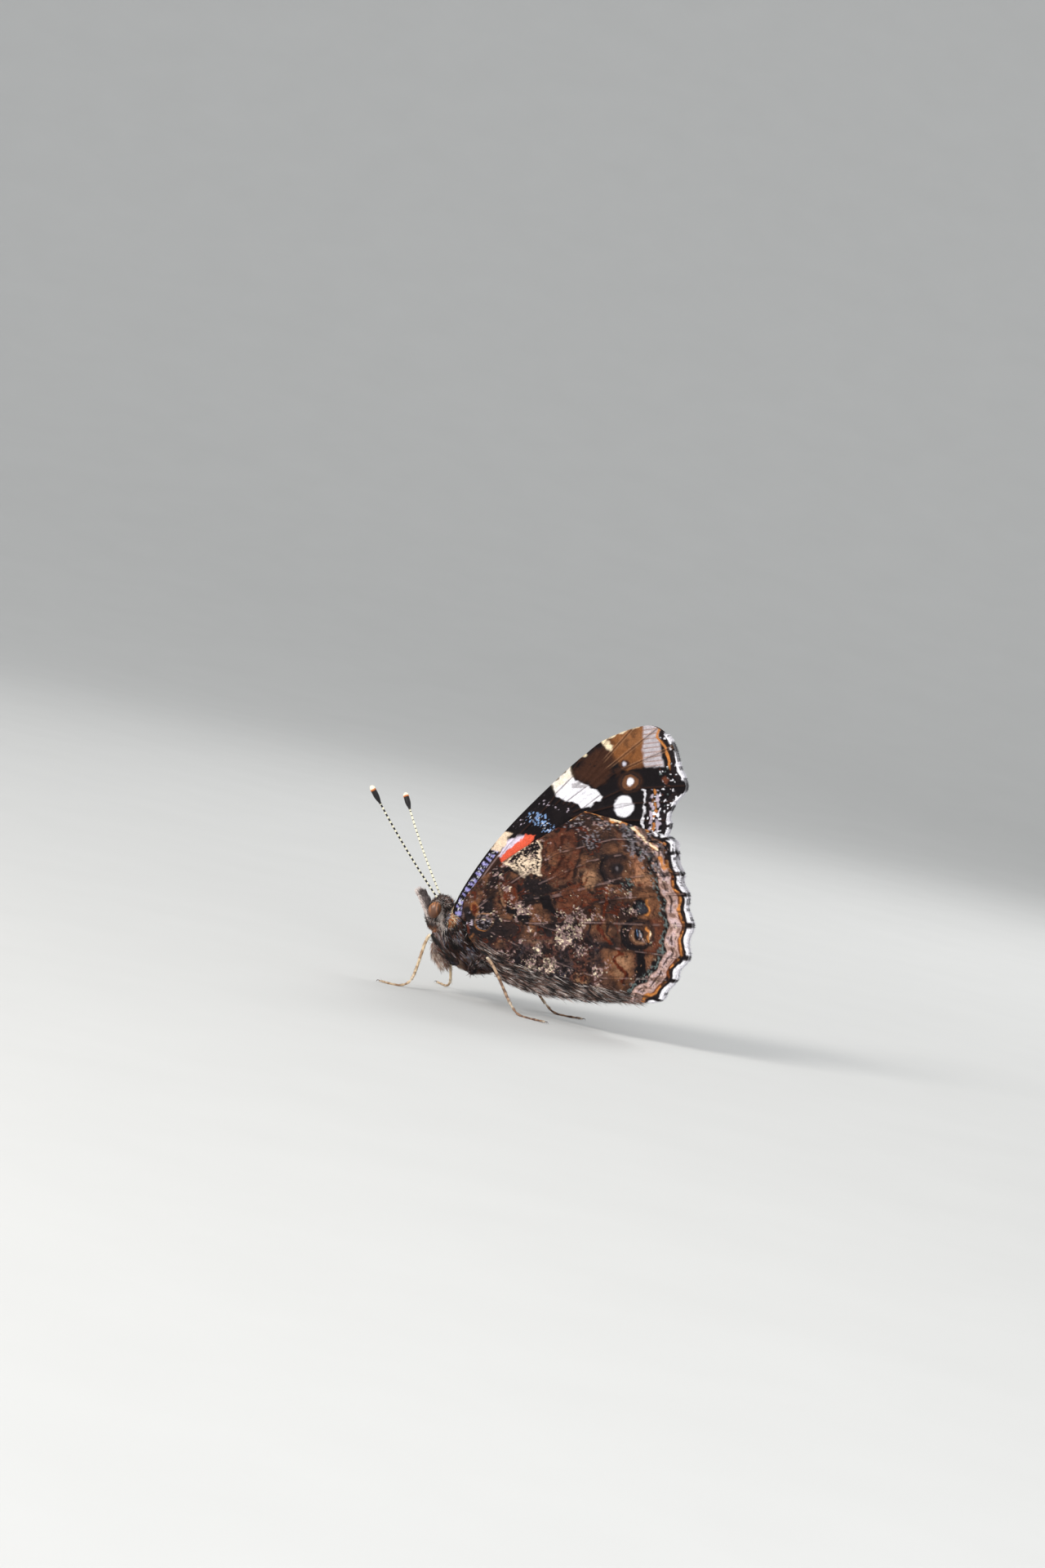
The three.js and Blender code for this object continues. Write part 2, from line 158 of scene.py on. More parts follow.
class Painting:
    """Colours for every point of a wing, laid on in coats like watercolour."""

    def __init__(self, u, v, ground):
        self.u, self.v = u, v
        self.wu = u + 5.0 * (noise(u, v, 9, 3) - 0.5) + 2.4 * (noise(u, v, 3.2, 4) - 0.5)
        self.wv = v + 5.0 * (noise(u, v, 9, 5) - 0.5) + 2.4 * (noise(u, v, 3.2, 6) - 0.5)
        self.colour = np.tile(ground, (len(u), 1))

    def coat(self, mask, colour):
        m = np.clip(mask, 0, 1)[:, None]
        self.colour = self.colour * (1 - m) + np.asarray(colour) * m

    def patch(self, corners, colour, soft=1.2, strength=1.0, ragged=True):
        u, v = (self.wu, self.wv) if ragged else (self.u, self.v)
        d = patch_distance(u, v, corners)
        self.coat(strength * (1 - smooth(-soft, soft, d)), colour)

    def line(self, points, width, colour, soft=0.9, strength=1.0, ragged=True):
        u, v = (self.wu, self.wv) if ragged else (self.u, self.v)
        d = line_distance(u, v, points) - width / 2
        self.coat(strength * (1 - smooth(-soft, soft, d)), colour)

    def disc(self, centre, radii, colour, soft=1.2, strength=1.0, turn=0.0, ragged=0.5):
        u = self.u + (self.wu - self.u) * ragged - centre[0]
        v = self.v + (self.wv - self.v) * ragged - centre[1]
        c, s = math.cos(math.radians(turn)), math.sin(math.radians(turn))
        a, b = u * c + v * s, -u * s + v * c
        d = (np.hypot(a / radii[0], b / radii[1]) - 1) * min(radii)
        self.coat(strength * (1 - smooth(-soft, soft, d)), colour)

    def ring(self, centre, radius, width, colour, start=0, end=360, soft=0.9, strength=1.0):
        u = self.u + (self.wu - self.u) * 0.45 - centre[0]
        v = self.v + (self.wv - self.v) * 0.45 - centre[1]
        angle = np.degrees(np.arctan2(-v, u)) % 360
        span = (angle - start) % 360
        fade = smooth(-8, 8, span) * (1 - smooth(end - start - 14, end - start, span))
        fade = fade if end - start < 360 else 1.0
        d = np.abs(np.hypot(u, v) - radius) - width / 2
        self.coat(strength * fade * (1 - smooth(-soft, soft, d)), colour)

    def blotches(self, low, high, size, seed):
        """Mask from 0 where the noise is under low to 1 where it is over high."""
        return smooth(low, high, noise(self.u, self.v, size, seed))

    def cloudy(self, low, high, size, seed):
        """The same mask from layered noise."""
        return smooth(low, high, clouds(self.u, self.v, size, seed))

    def near(self, points, far, close):
        """Mask from 0 at the distance far from a bent line to 1 at close."""
        return smooth(far, close, line_distance(self.u, self.v, points))

    def grain(self, depth, size, seed):
        """Fine unevenness of tone, as single scales catch the light."""
        n = 0.6 * noise(self.u, self.v, size, seed) + 0.4 * noise(self.v, self.u, size * 2.1, seed + 1)
        self.colour = self.colour * (1 + depth * (2 * n - 1))[:, None]

    def flecks(self, share, size, colour, seed, strength=1.0):
        """Share is how much of the ground the flecks cover, as a number or a field."""
        n = 0.65 * noise(self.u, self.v, size, seed) + 0.35 * noise(self.v, self.u, size * 0.6, seed + 1)
        self.coat(strength * smooth(-0.05, 0.05, n - (1 - np.asarray(share) * 0.9)), colour)


# %% [markdown]
# ## Wing plans
# Each vein is named and ends at its tip on the margin. The bow lifts it towards the front
# edge, early moves that bow towards the root, and dip is the scallop between it and the
# next. These are the CAD's own values, so that both wings agree.

# %% Wing plans
FORE_PLAN = {
    "front": (-7.55, 8.95), "back": (-5.7, 8.45),
    "veins": [
        ("costa", (1.5, 27.8), 1.5, 0.7, 0), ("subcosta", (2.7, 29.3), 1.45, 0.75, 0),
        ("radius_1", (4.6, 31.5), 1.35, 0.8, 0), ("radius_2", (7.9, 33.7), 1.2, 0.85, 0),
        ("radius_3", (10.2, 34.2), 1.05, 0.9, 0), ("radius_4", (12.5, 32.5), 0.9, 1, 0.25),
        ("media_1", (14.8, 28.5), 0.7, 1, 0.35), ("media_2", (13.8, 25.9), 0.3, 1, 0.3),
        ("media_3", (14.0, 23.9), -0.1, 1, 0.3), ("cubitus_1", (14.1, 21.9), -0.4, 1, 0.3),
        ("cubitus_2", (13.7, 20.1), -0.7, 1, 0), ("anal", (11.9, 18.6), -0.5, 1, 0),
    ],
}
HIND_PLAN = {
    "front": (-6.1, 9.3), "back": (-4.9, 7.0),
    "veins": [
        ("costa", (4.4, 23.4), 1.95, 0.5, 0), ("subcosta", (9.2, 23.2), 2.0, 0.6, 0),
        ("radius", (14.3, 22.6), 1.5, 0.7, 0), ("radius_sector", (15.3, 21.2), 1.3, 0.8, 0.2),
        ("media_1", (16.4, 19.1), 1.0, 0.9, 0.3), ("media_2", (17.6, 17.0), 0.7, 1, 0.3),
        ("media_3", (18.9, 13.8), 0.3, 1, 0.4), ("cubitus_1", (19.3, 10.2), -0.2, 1, 0.35),
        ("cubitus_2", (18.4, 7.4), -0.5, 1, 0.3), ("anal_1", (17.2, 4.9), -0.5, 1, 0),
        ("anal_2", (13.4, 3.9), -0.4, 1, 0), ("fold_1", (7.6, 3.0), -0.2, 1, 0),
        ("fold_2", (2.6, 2.6), 0, 1, 0), ("fold_3", (-0.9, 3.2), 0, 1, 0),
    ],
}
FORE_INNER, HIND_INNER, CLOSED_INNER = 0.1, 1.05, 0.35
CLOSING = {"below": 1, "over": 5, "out": 9, "along": 6}
ROOT_PIVOT, ROOT_SPREAD, ROOT_REACH = (-7.24, 8.54), 1.75, 4.0
ABDOMEN_FRONT, ABDOMEN_TIP, ABDOMEN_RADIUS = (-3.4, 5.3), (9.6, 4.7), 1.85
FOLD_SPREAD, FOLD_REACH = 1.35, 4.6
FACE_DEPTHS, MEMBRANE = {"forewing": 0.40, "hindwing": 0.14}, 0.12


def fore_spread(x, z):
    """Half the distance between the two forewings at a side-view place."""
    reach = np.hypot(x - ROOT_PIVOT[0], z - ROOT_PIVOT[1]) / ROOT_REACH
    return FORE_INNER + ROOT_SPREAD * np.exp(-reach * reach)


def closing(x, z):
    """0 over the forewing and near the body, 1 where the hindwings face each other."""
    edge = np.array(FORE_PLAN["veins"][-1][1]) - ROOT_PIVOT
    dx, dz = x - ROOT_PIVOT[0], z - ROOT_PIVOT[1]
    below = (dx * edge[1] - dz * edge[0]) / np.hypot(*edge)
    near_edge = smooth(0, CLOSING["over"], below - CLOSING["below"])
    return near_edge * smooth(0, CLOSING["along"], np.hypot(dx, dz) - CLOSING["out"])


def hind_spread(x, z):
    """The same for the hindwings, which bulge round the abdomen."""
    along = np.clip((x - ABDOMEN_FRONT[0]) / (ABDOMEN_TIP[0] - ABDOMEN_FRONT[0]), 0, 1)
    axis_x = ABDOMEN_FRONT[0] + along * (ABDOMEN_TIP[0] - ABDOMEN_FRONT[0])
    axis_z = ABDOMEN_FRONT[1] + along * (ABDOMEN_TIP[1] - ABDOMEN_FRONT[1])
    away = np.hypot(x - axis_x, z - axis_z)
    fold = smooth(0, 1, (FOLD_REACH - away) / (FOLD_REACH - ABDOMEN_RADIUS))
    inner = HIND_INNER + (CLOSED_INNER - HIND_INNER) * closing(x, z)
    return fore_spread(x, z) - FORE_INNER + inner * (1 - fold) + (HIND_INNER + FOLD_SPREAD) * fold


def vein_paths(plan, t):
    """Side-view places of every vein at the ways t, as an array (vein, t, 2)."""
    count = len(plan["veins"])
    front, back = np.array(plan["front"]), np.array(plan["back"])
    paths = []
    for k, (_, tip, bow, early, _) in enumerate(plan["veins"]):
        root = front + (back - front) * k / (count - 1)
        along = np.array(tip) - root
        length = np.hypot(*along)
        lift = bow * np.sin(np.pi * t ** early)
        paths.append(np.stack([root[0] + along[0] * t - along[1] / length * lift,
                               root[1] + along[1] * t + along[0] / length * lift], axis=1))
    return np.array(paths)


def between_veins(paths, place):
    """Smooth curve across the veins, one row of points for each way t."""
    count = len(paths)
    i = np.clip(np.floor(place).astype(int), 0, count - 2)
    f = (place - i)[:, None, None]
    p1, p2 = paths[i], paths[i + 1]
    p0 = np.where((i > 0)[:, None, None], paths[np.maximum(i - 1, 0)], 2 * p1 - p2)
    p3 = np.where((i < count - 2)[:, None, None], paths[np.minimum(i + 2, count - 1)], 2 * p2 - p1)
    return 0.5 * (2 * p1 + (p2 - p0) * f + (2 * p0 - 5 * p1 + 4 * p2 - p3) * f ** 2
                  + (3 * p1 - p0 - 3 * p2 + p3) * f ** 3)


def wing_grid(plan, columns, rows):
    """Side-view grid of a wing (column, row, 2), and the vein place of each column."""
    count = len(plan["veins"])
    fine = np.linspace(0, count - 1, 1200)
    edge = between_veins(vein_paths(plan, np.array([1.0])), fine)[:, 0]
    run = np.concatenate([[0], np.cumsum(np.hypot(*np.diff(edge, axis=0).T))])
    place = np.interp(np.linspace(0, run[-1], columns + 1), run, fine)
    t = np.linspace(0, 1, rows + 1) ** 0.85
    grid = between_veins(vein_paths(plan, t), place)
    dips = np.array([vein[4] for vein in plan["veins"]])
    i = np.clip(np.floor(place).astype(int), 0, count - 2)
    dip = dips[i] * np.sin(np.pi * (place - i)) ** 2
    root = np.array(plan["front"])
    length = np.hypot(*(edge.mean(axis=0) - root))
    shrink = (dip / length)[:, None] * t[None, :] ** 6
    towards = grid - grid[:, :1]
    return grid - towards * shrink[:, :, None], place


# %% [markdown]
# ## Mesh helpers
# A wing is one closed vane. Its outer face is fine enough to carry a colour for every few
# scales. Its inner face has a quarter of the columns and rows, and the rim between the two
# is a row of small fans.

# %% Mesh helpers
def make_mesh(name, points, faces, colours=None, uv=None):
    """Triangle mesh from arrays in millimetres, as an object at the origin."""
    mesh = bpy.data.meshes.new(name)
    points = np.asarray(points, float) + np.array([SHIFT_X, PLANE_Y, 0.0])
    faces = np.asarray(faces, np.int32)
    mesh.vertices.add(len(points))
    mesh.vertices.foreach_set("co", (points * MM).ravel())
    mesh.loops.add(faces.size)
    mesh.loops.foreach_set("vertex_index", faces.ravel())
    mesh.polygons.add(len(faces))
    mesh.polygons.foreach_set("loop_start", np.arange(0, faces.size, 3, dtype=np.int32))
    mesh.update(calc_edges=True)
    mesh.polygons.foreach_set("use_smooth", np.full(len(faces), True))
    if colours is not None:
        layer = mesh.color_attributes.new("scales", "FLOAT_COLOR", "POINT")
        layer.data.foreach_set("color", np.column_stack([colours, np.ones(len(colours))]).ravel())
    if uv is not None:
        mesh.uv_layers.new(name="OFBake").data.foreach_set("uv", uv[faces.ravel()].ravel())
    mesh.validate()
    thing = bpy.data.objects.new(name, mesh)
    bpy.context.scene.collection.objects.link(thing)
    return thing


def grid_faces(columns, rows, start=0):
    """Two triangles for each cell of a grid of (columns + 1) by (rows + 1) points."""
    i, j = np.meshgrid(np.arange(columns), np.arange(rows), indexing="ij")
    a = start + i * (rows + 1) + j
    b, c, d = a + rows + 1, a + rows + 2, a + 1
    return halves(a, b, c, d)


def halves(a, b, c, d):
    """Triangles of four-cornered cells whose corners are a, b, c and d."""
    first, second = np.stack([a, b, c], -1), np.stack([a, c, d], -1)
    return np.concatenate([first.reshape(-1, 3), second.reshape(-1, 3)])


def rim_loop(columns, rows, start=0):
    """Numbers of the points once round the edge of a grid."""
    places = [(i, 0) for i in range(columns)]
    places += [(columns, j) for j in range(rows)]
    places += [(i, rows) for i in range(columns, 0, -1)]
    places += [(0, j) for j in range(rows, 0, -1)]
    return [start + i * (rows + 1) + j for i, j in places]


def vane(outer, inner, side):
    """Points and faces of a closed vane from a fine outer grid and a coarse inner grid."""
    columns, rows = outer.shape[0] - 1, outer.shape[1] - 1
    step = columns // (inner.shape[0] - 1)
    coarse_columns, coarse_rows = columns // step, rows // step
    offset = (columns + 1) * (rows + 1)
    front = grid_faces(columns, rows)
    back = grid_faces(coarse_columns, coarse_rows, offset)[:, ::-1]
    fine_rim, coarse_rim = rim_loop(columns, rows), rim_loop(coarse_columns, coarse_rows, offset)
    rim = []
    for k, corner in enumerate(coarse_rim):
        following = coarse_rim[(k + 1) % len(coarse_rim)]
        strip = [fine_rim[(k * step + n) % len(fine_rim)] for n in range(step + 1)]
        half = step // 2
        rim += [(strip[n + 1], strip[n], corner) for n in range(half)]
        rim.append((strip[half], corner, following))
        rim += [(strip[n + 1], strip[n], following) for n in range(half, step)]
    faces = np.concatenate([front, back, np.array(rim)])
    points = np.concatenate([outer.reshape(-1, 3), inner.reshape(-1, 3)])
    return points, (faces if side < 0 else faces[:, ::-1])


# %% [markdown]
# ## Palette
# The underside of the hindwing is a marbling of umber, rust and near-black with lavender
# flecks. The forewing is black with a cream-white bar, an orange-red stripe and blue dust.

# %% Palette
BLACK = rgb(20, 16, 18)
SOOT = rgb(31, 25, 26)
UMBER = rgb(54, 37, 32)
EARTH = rgb(84, 57, 44)
WARM = rgb(112, 74, 52)
TAN = rgb(150, 112, 84)
RUST = rgb(84, 36, 20)
BRICK = rgb(90, 50, 35)
OXIDE = rgb(46, 22, 16)
ORANGE = rgb(184, 118, 62)
AMBER = rgb(150, 98, 58)
ROSY = rgb(182, 150, 140)
FAWN = rgb(150, 102, 76)
IVORY = rgb(218, 194, 168)
CREAM = rgb(226, 208, 176)
WHITE = rgb(226, 223, 228)
LAVENDER = rgb(182, 168, 180)
PINKISH = rgb(148, 122, 118)
GREY = rgb(118, 110, 114)
SLATE = rgb(52, 51, 58)
BLUE = rgb(124, 154, 198)
VIOLET = rgb(140, 134, 188)
SCARLET = rgb(216, 90, 64)
MOSS = rgb(88, 98, 96)
APEX = rgb(118, 74, 42)
APEX_DARK = rgb(58, 35, 25)
APEX_LIGHT = rgb(130, 86, 54)
APEX_GREY = rgb(172, 164, 168)
PALE_LAVENDER = rgb(214, 200, 216)
SPOT_BROWN = rgb(98, 64, 44)
SPOT_WHITE = rgb(190, 186, 196)


# %% [markdown]
# ## Marks of the hindwing
# Large soft fields come first, then the cell marks, the eyespots, the bands that run along
# the margin, and last the flecks and the pale lines of the veins.

# %% Paint the hindwing
HIND_VEINS = [
    [(580, 1115), (620, 1085), (680, 1045), (750, 1027), (815, 1028)],
    [(660, 1082), (720, 1054), (780, 1042), (822, 1043)],
    [(671, 1100), (717, 1087), (760, 1074), (829, 1068)],
    [(690, 1128), (726, 1106), (756, 1099), (835, 1093)],
    [(585, 1122), (625, 1128), (660, 1131), (690, 1128), (838, 1132)],
    [(655, 1131), (719, 1151), (754, 1160), (804, 1167), (838, 1173)],
    [(590, 1135), (650, 1165), (730, 1195), (820, 1198)],
    [(624, 1107), (652, 1100), (671, 1098), (700, 1090), (745, 1080)],
]


def paint_hindwing(u, v, margin, place, _front):
    """Margin is the distance from the outer margin in sheet units."""
    p = Painting(u, v, UMBER)
    broad, middle, small = clouds(u, v, 46, 11), clouds(u, v, 17, 21), clouds(u, v, 7, 31)
    p.coat(smooth(0.42, 0.62, broad), EARTH)
    p.coat(0.7 * smooth(0.54, 0.66, middle), WARM)
    p.coat(0.6 * p.cloudy(0.52, 0.62, 10, 173), SOOT)
    p.coat(0.85 * smooth(0.55, 0.40, middle) * smooth(0.5, 0.35, broad), SOOT)

    # Warm fields of the cell and of the outer half.
    warm_fields = [
        [(664, 1030), (690, 1012), (706, 1020), (712, 1045), (700, 1078), (672, 1076), (663, 1066)],
        [(674, 1090), (712, 1080), (728, 1100), (700, 1122), (684, 1116)],
        [(711, 1068), (728, 1062), (738, 1078), (726, 1090), (712, 1084)],
        [(716, 1132), (740, 1128), (748, 1152), (726, 1152)],
        [(616, 1080), (632, 1082), (634, 1104), (624, 1114), (613, 1104)],
        [(646, 1108), (668, 1106), (674, 1126), (652, 1130)],
    ]
    warm_tones = [BRICK, BRICK, TAN, WARM, BRICK, WARM]
    for k, (field, tone) in enumerate(zip(warm_fields, warm_tones)):
        p.patch(field, tone, soft=5, strength=0.75)
        edge = np.abs(patch_distance(p.wu, p.wv, field) - 1.0)
        p.coat(0.8 * smooth(2.6, 1.0, edge) * p.blotches(0.36, 0.5, 9, 271 + k), BLACK)
    p.patch([(768, 1044), (800, 1046), (804, 1084), (770, 1080)], FAWN, soft=5, strength=0.9)
    p.patch([(778, 1066), (800, 1066), (799, 1082), (776, 1078)], TAN, soft=5, strength=0.55)
    p.patch([(778, 1088), (808, 1090), (811, 1120), (784, 1128), (772, 1100)], WARM, soft=4, strength=0.8)
    p.patch([(790, 1124), (810, 1124), (811, 1166), (796, 1166), (802, 1146)], BRICK, soft=3, strength=0.9)
    p.patch([(712, 1026), (742, 1024), (748, 1050), (722, 1062)], SOOT, soft=7, strength=0.75)
    p.patch([(700, 1002), (744, 1000), (752, 1030), (716, 1036), (704, 1026)], SOOT, soft=7, strength=0.6)
    p.patch([(726, 1062), (746, 1056), (744, 1086), (730, 1090)], UMBER, soft=4, strength=0.7)
    p.patch([(694, 1122), (722, 1104), (726, 1124), (704, 1127)], UMBER, soft=3, strength=0.85)
    p.patch([(732, 1104), (776, 1098), (770, 1124), (736, 1126)], UMBER, soft=6, strength=0.55)

    # Worm-like rust lines follow the level curves of the middle clouds.
    worm = np.abs(middle - 0.5)
    region = smooth(26, 40, margin) * smooth(1190, 1160, v)
    p.coat(0.8 * region * (1 - smooth(0.006, 0.03, worm)), RUST)
    p.coat(0.7 * region * (1 - smooth(0.004, 0.02, np.abs(clouds(u, v, 24, 41) - 0.54))), BLACK)
    p.line([(691, 1024), (684, 1036), (690, 1048), (676, 1072)], 4, OXIDE, strength=0.85)
    p.line([(700, 1046), (693, 1054), (698, 1066), (690, 1076)], 3, OXIDE, strength=0.8)
    p.line([(672, 1030), (668, 1046), (672, 1060), (668, 1074)], 2.4, SOOT, strength=0.6)
    p.patch([(684, 1042), (694, 1030), (704, 1036), (698, 1050)], EARTH, soft=3, strength=0.7)
    p.patch([(672, 1040), (682, 1044), (680, 1062), (672, 1060)], WARM, soft=3, strength=0.6)
    p.line([(744, 1089), (742, 1106), (737, 1121), (733, 1136), (737, 1147), (747, 1155)], 3.4, RUST)
    p.line([(731, 1090), (744, 1088)], 2.6, RUST)
    p.line([(722, 1130), (716, 1150)], 3.4, SOOT)
    p.line([(748, 1128), (741, 1142), (752, 1156)], 2, SOOT)
    p.line([(619, 1084), (617, 1098), (623, 1108), (630, 1098), (627, 1084)], 2.6, RUST)
    p.line([(613, 1090), (616, 1108), (630, 1114)], 2, TAN, strength=0.7)

    # Dark wedges of the cell.
    p.patch([(659, 1099), (671, 1094), (679, 1113), (691, 1122), (678, 1120), (667, 1111)], BLACK)
    p.patch([(621, 1100), (626, 1114), (636, 1119), (650, 1122), (648, 1128), (632, 1126), (619, 1114)],
            BLACK, soft=1.5)
    p.patch([(624, 1116), (640, 1107), (646, 1120), (649, 1137), (640, 1131), (632, 1122)], BLACK)
    p.patch([(646, 1076), (664, 1076), (680, 1084), (672, 1094), (654, 1096), (640, 1086)], SOOT, soft=3)
    p.patch([(598, 1075), (612, 1068), (611, 1088), (600, 1112), (592, 1096)], BLACK, soft=3, strength=0.85)

    # Base: an oval loop, a ring with a dusted middle, and an arc.
    p.patch([(566, 1112), (604, 1096), (612, 1130), (600, 1146), (570, 1150)], SOOT, soft=3)
    p.disc((581, 1112), (5.4, 9), AMBER, turn=-8, strength=0.8)
    p.disc((581, 1113), (4.2, 7.8), RUST, turn=-8)
    p.ring((592, 1129), 11.0, 1.4, TAN, 300, 560, strength=0.4)
    p.ring((592, 1129), 9.8, 1.4, ORANGE, 190, 300, strength=0.6)
    p.disc((592, 1129), (8.6, 9), BLACK)
    p.line([(568, 1129), (570, 1140), (576, 1148), (581, 1144)], 2.0, AMBER, strength=0.45)
    p.line([(567, 1130), (569, 1142), (576, 1150)], 1.3, CREAM, strength=0.7)
    p.line([(573, 1133), (576, 1141)], 3.0, RUST)
    p.flecks(0.34 * (line_distance(u, v, [(573, 1120), (575, 1132)]) < 4), 1.7, LAVENDER, 61, 0.8)
    p.flecks(0.42 * (np.hypot(u - 592, v - 1129) < 9), 1.6, GREY, 62)
    p.line([(584, 1119), (592, 1117), (601, 1118)], 1.4, TAN)

    # Cream patch at the front edge, speckled with black.
    cream = [(615, 1055), (625, 1048), (641, 1038), (657, 1027), (664, 1040), (661, 1054),
             (662, 1071), (651, 1068), (640, 1075), (629, 1064), (619, 1059)]
    p.patch([(618, 1060), (630, 1062), (632, 1070), (614, 1066)], BLACK, soft=1.5)
    p.patch(cream, IVORY)
    for notch, size in (((633, 1068), 3.4), ((622, 1063), 3.8), ((656, 1073), 3.4), ((646, 1074), 2.4)):
        p.disc(notch, (size, size), BLACK, soft=1.5, strength=0.9)
    p.line([(613, 1054), (634, 1040), (657, 1027)], 2.8, SCARLET, ragged=False)
    p.flecks(0.5 * p.near([(628, 1053), (640, 1045), (652, 1038)], 8, 3), 2.1, BLACK, 73)
    d_cream = patch_distance(p.wu, p.wv, cream)
    upper = smooth(0, 10, (v - 1055) * -0.8 - (u - 615) * -0.1 - 4)
    p.flecks(np.where(d_cream < -1.5, 0.46 + 0.24 * upper, 0), 2.0, BLACK, 71)
    p.line([(626, 1056), (636, 1047), (650, 1040)], 2.6, SOOT, strength=0.75)

    # Large dark ring with a small white centre, in the front of the outer half.
    p.disc((754, 1063), (21, 20), SOOT, soft=3, strength=0.9)
    p.disc((756, 1063), (15.5, 15), UMBER, soft=3)
    p.disc((768, 1066), (9, 12), WARM, soft=5, strength=0.65)
    p.disc((755, 1063), (8, 7.5), SOOT, soft=3)
    p.ring((754, 1063), 19.2, 2.4, BLACK, 120, 290)
    p.disc((754, 1063), (1.6, 2.0), GREY, soft=1.2, strength=0.7)
    p.flecks(0.45 * (np.hypot(u - 724, v - 1027) < 12), 1.9, GREY, 63)

    # Small dark spot and the main eyespot with its black crescent.
    p.disc((782, 1110), (11, 10.5), BLACK, soft=2)
    p.disc((785, 1111), (6.5, 6.5), SLATE, soft=2.4, strength=0.85)
    p.line([(791, 1102), (793, 1110), (790, 1118)], 2.6, ORANGE, strength=0.9)
    p.flecks(0.3 * (np.hypot(u - 782, v - 1110) < 8), 1.8, MOSS, 64)
    p.disc((767, 1083), (7, 6), SOOT, soft=2)
    p.flecks(0.4 * (np.hypot(u - 767, v - 1084) < 10), 1.9, MOSS, 65)
    p.disc((779, 1143), (20.5, 21), BLACK, soft=1.6)
    p.disc((783.5, 1141.5), (17, 17), UMBER, soft=1.6)
    p.disc((782.5, 1143), (13.6, 13.6), WARM, soft=2, strength=0.7)
    p.ring((782.5, 1143), 14.4, 2.2, BLACK, 60, 330)
    p.disc((782.5, 1143), (12, 12), UMBER, soft=3, strength=0.7)
    p.ring((782.5, 1143), 9.6, 2.6, TAN, 150, 320, strength=0.55)
    p.disc((781, 1143), (6.2, 6.6), BLACK)
    p.line([(779, 1139), (780, 1144)], 1.3, BLUE, strength=0.6)
    p.line([(783, 1139), (784, 1144)], 1.1, WHITE, strength=0.6)
    p.line([(792, 1137), (794.5, 1143), (791.5, 1150)], 3.4, ORANGE)
    p.line([(795, 1140), (794.5, 1146)], 1.8, CREAM)

    # Rear of the wing: a tan field with a rust wave, a small ringed spot, a pinkish streak.
    p.patch([(734, 1163), (756, 1161), (774, 1168), (772, 1202), (756, 1206), (744, 1190)], WARM,
            soft=4, strength=0.9)
    p.patch([(748, 1170), (770, 1172), (768, 1196), (752, 1192)], TAN, soft=5, strength=0.7)
    wave = [(758, 1163), (761, 1167), (752, 1172), (750, 1175), (756, 1182), (765, 1188), (768, 1195),
            (761, 1200)]
    p.line(wave, 4.2, RUST)
    p.line([(766, 1186), (769, 1196), (762, 1202)], 2, BLACK, strength=0.7)
    p.disc((712, 1196), (9.5, 7.5), TAN, soft=2.5, strength=0.75)
    p.disc((713.5, 1196), (4.2, 4.2), BRICK)
    p.patch([(645, 1150), (676, 1150), (700, 1158), (690, 1162), (660, 1160)], TAN, soft=2.5, strength=0.8)
    p.line([(655, 1146), (678, 1150), (706, 1156)], 3, BRICK, strength=0.8)
    p.line([(664, 1152), (674, 1158)], 3.4, RUST)
    p.line([(648, 1180), (652, 1172), (660, 1168)], 2.4, RUST, strength=0.7)

    # Fold over the abdomen: slate ground under dense pale flecks.
    fold = smooth(1152, 1172, v + 0.16 * (u - 600)) * smooth(745, 715, u)
    tan_field = patch_distance(u, v, [(700, 1188), (724, 1186), (724, 1204), (700, 1204)])
    p.coat(0.7 * fold * smooth(-4, 3, tan_field), SLATE)
    p.coat(0.6 * fold * smooth(0.5, 0.62, middle), UMBER)
    p.coat(0.55 * fold * p.cloudy(0.52, 0.64, 13, 171), BRICK)
    p.coat(0.7 * fold * smooth(0.5, 0.6, small), BLACK)

    # Near-black posts by the rear corner.
    p.patch([(778, 1163), (789, 1164), (790, 1190), (786, 1216), (777, 1214), (776, 1190)], BLACK, soft=2)
    p.patch([(790, 1170), (798, 1172), (796, 1188), (790, 1190)], WARM, soft=2.5, strength=0.8)
    p.patch([(796, 1176), (806, 1170), (812, 1180), (803, 1216), (792, 1214)], BLACK, soft=2)

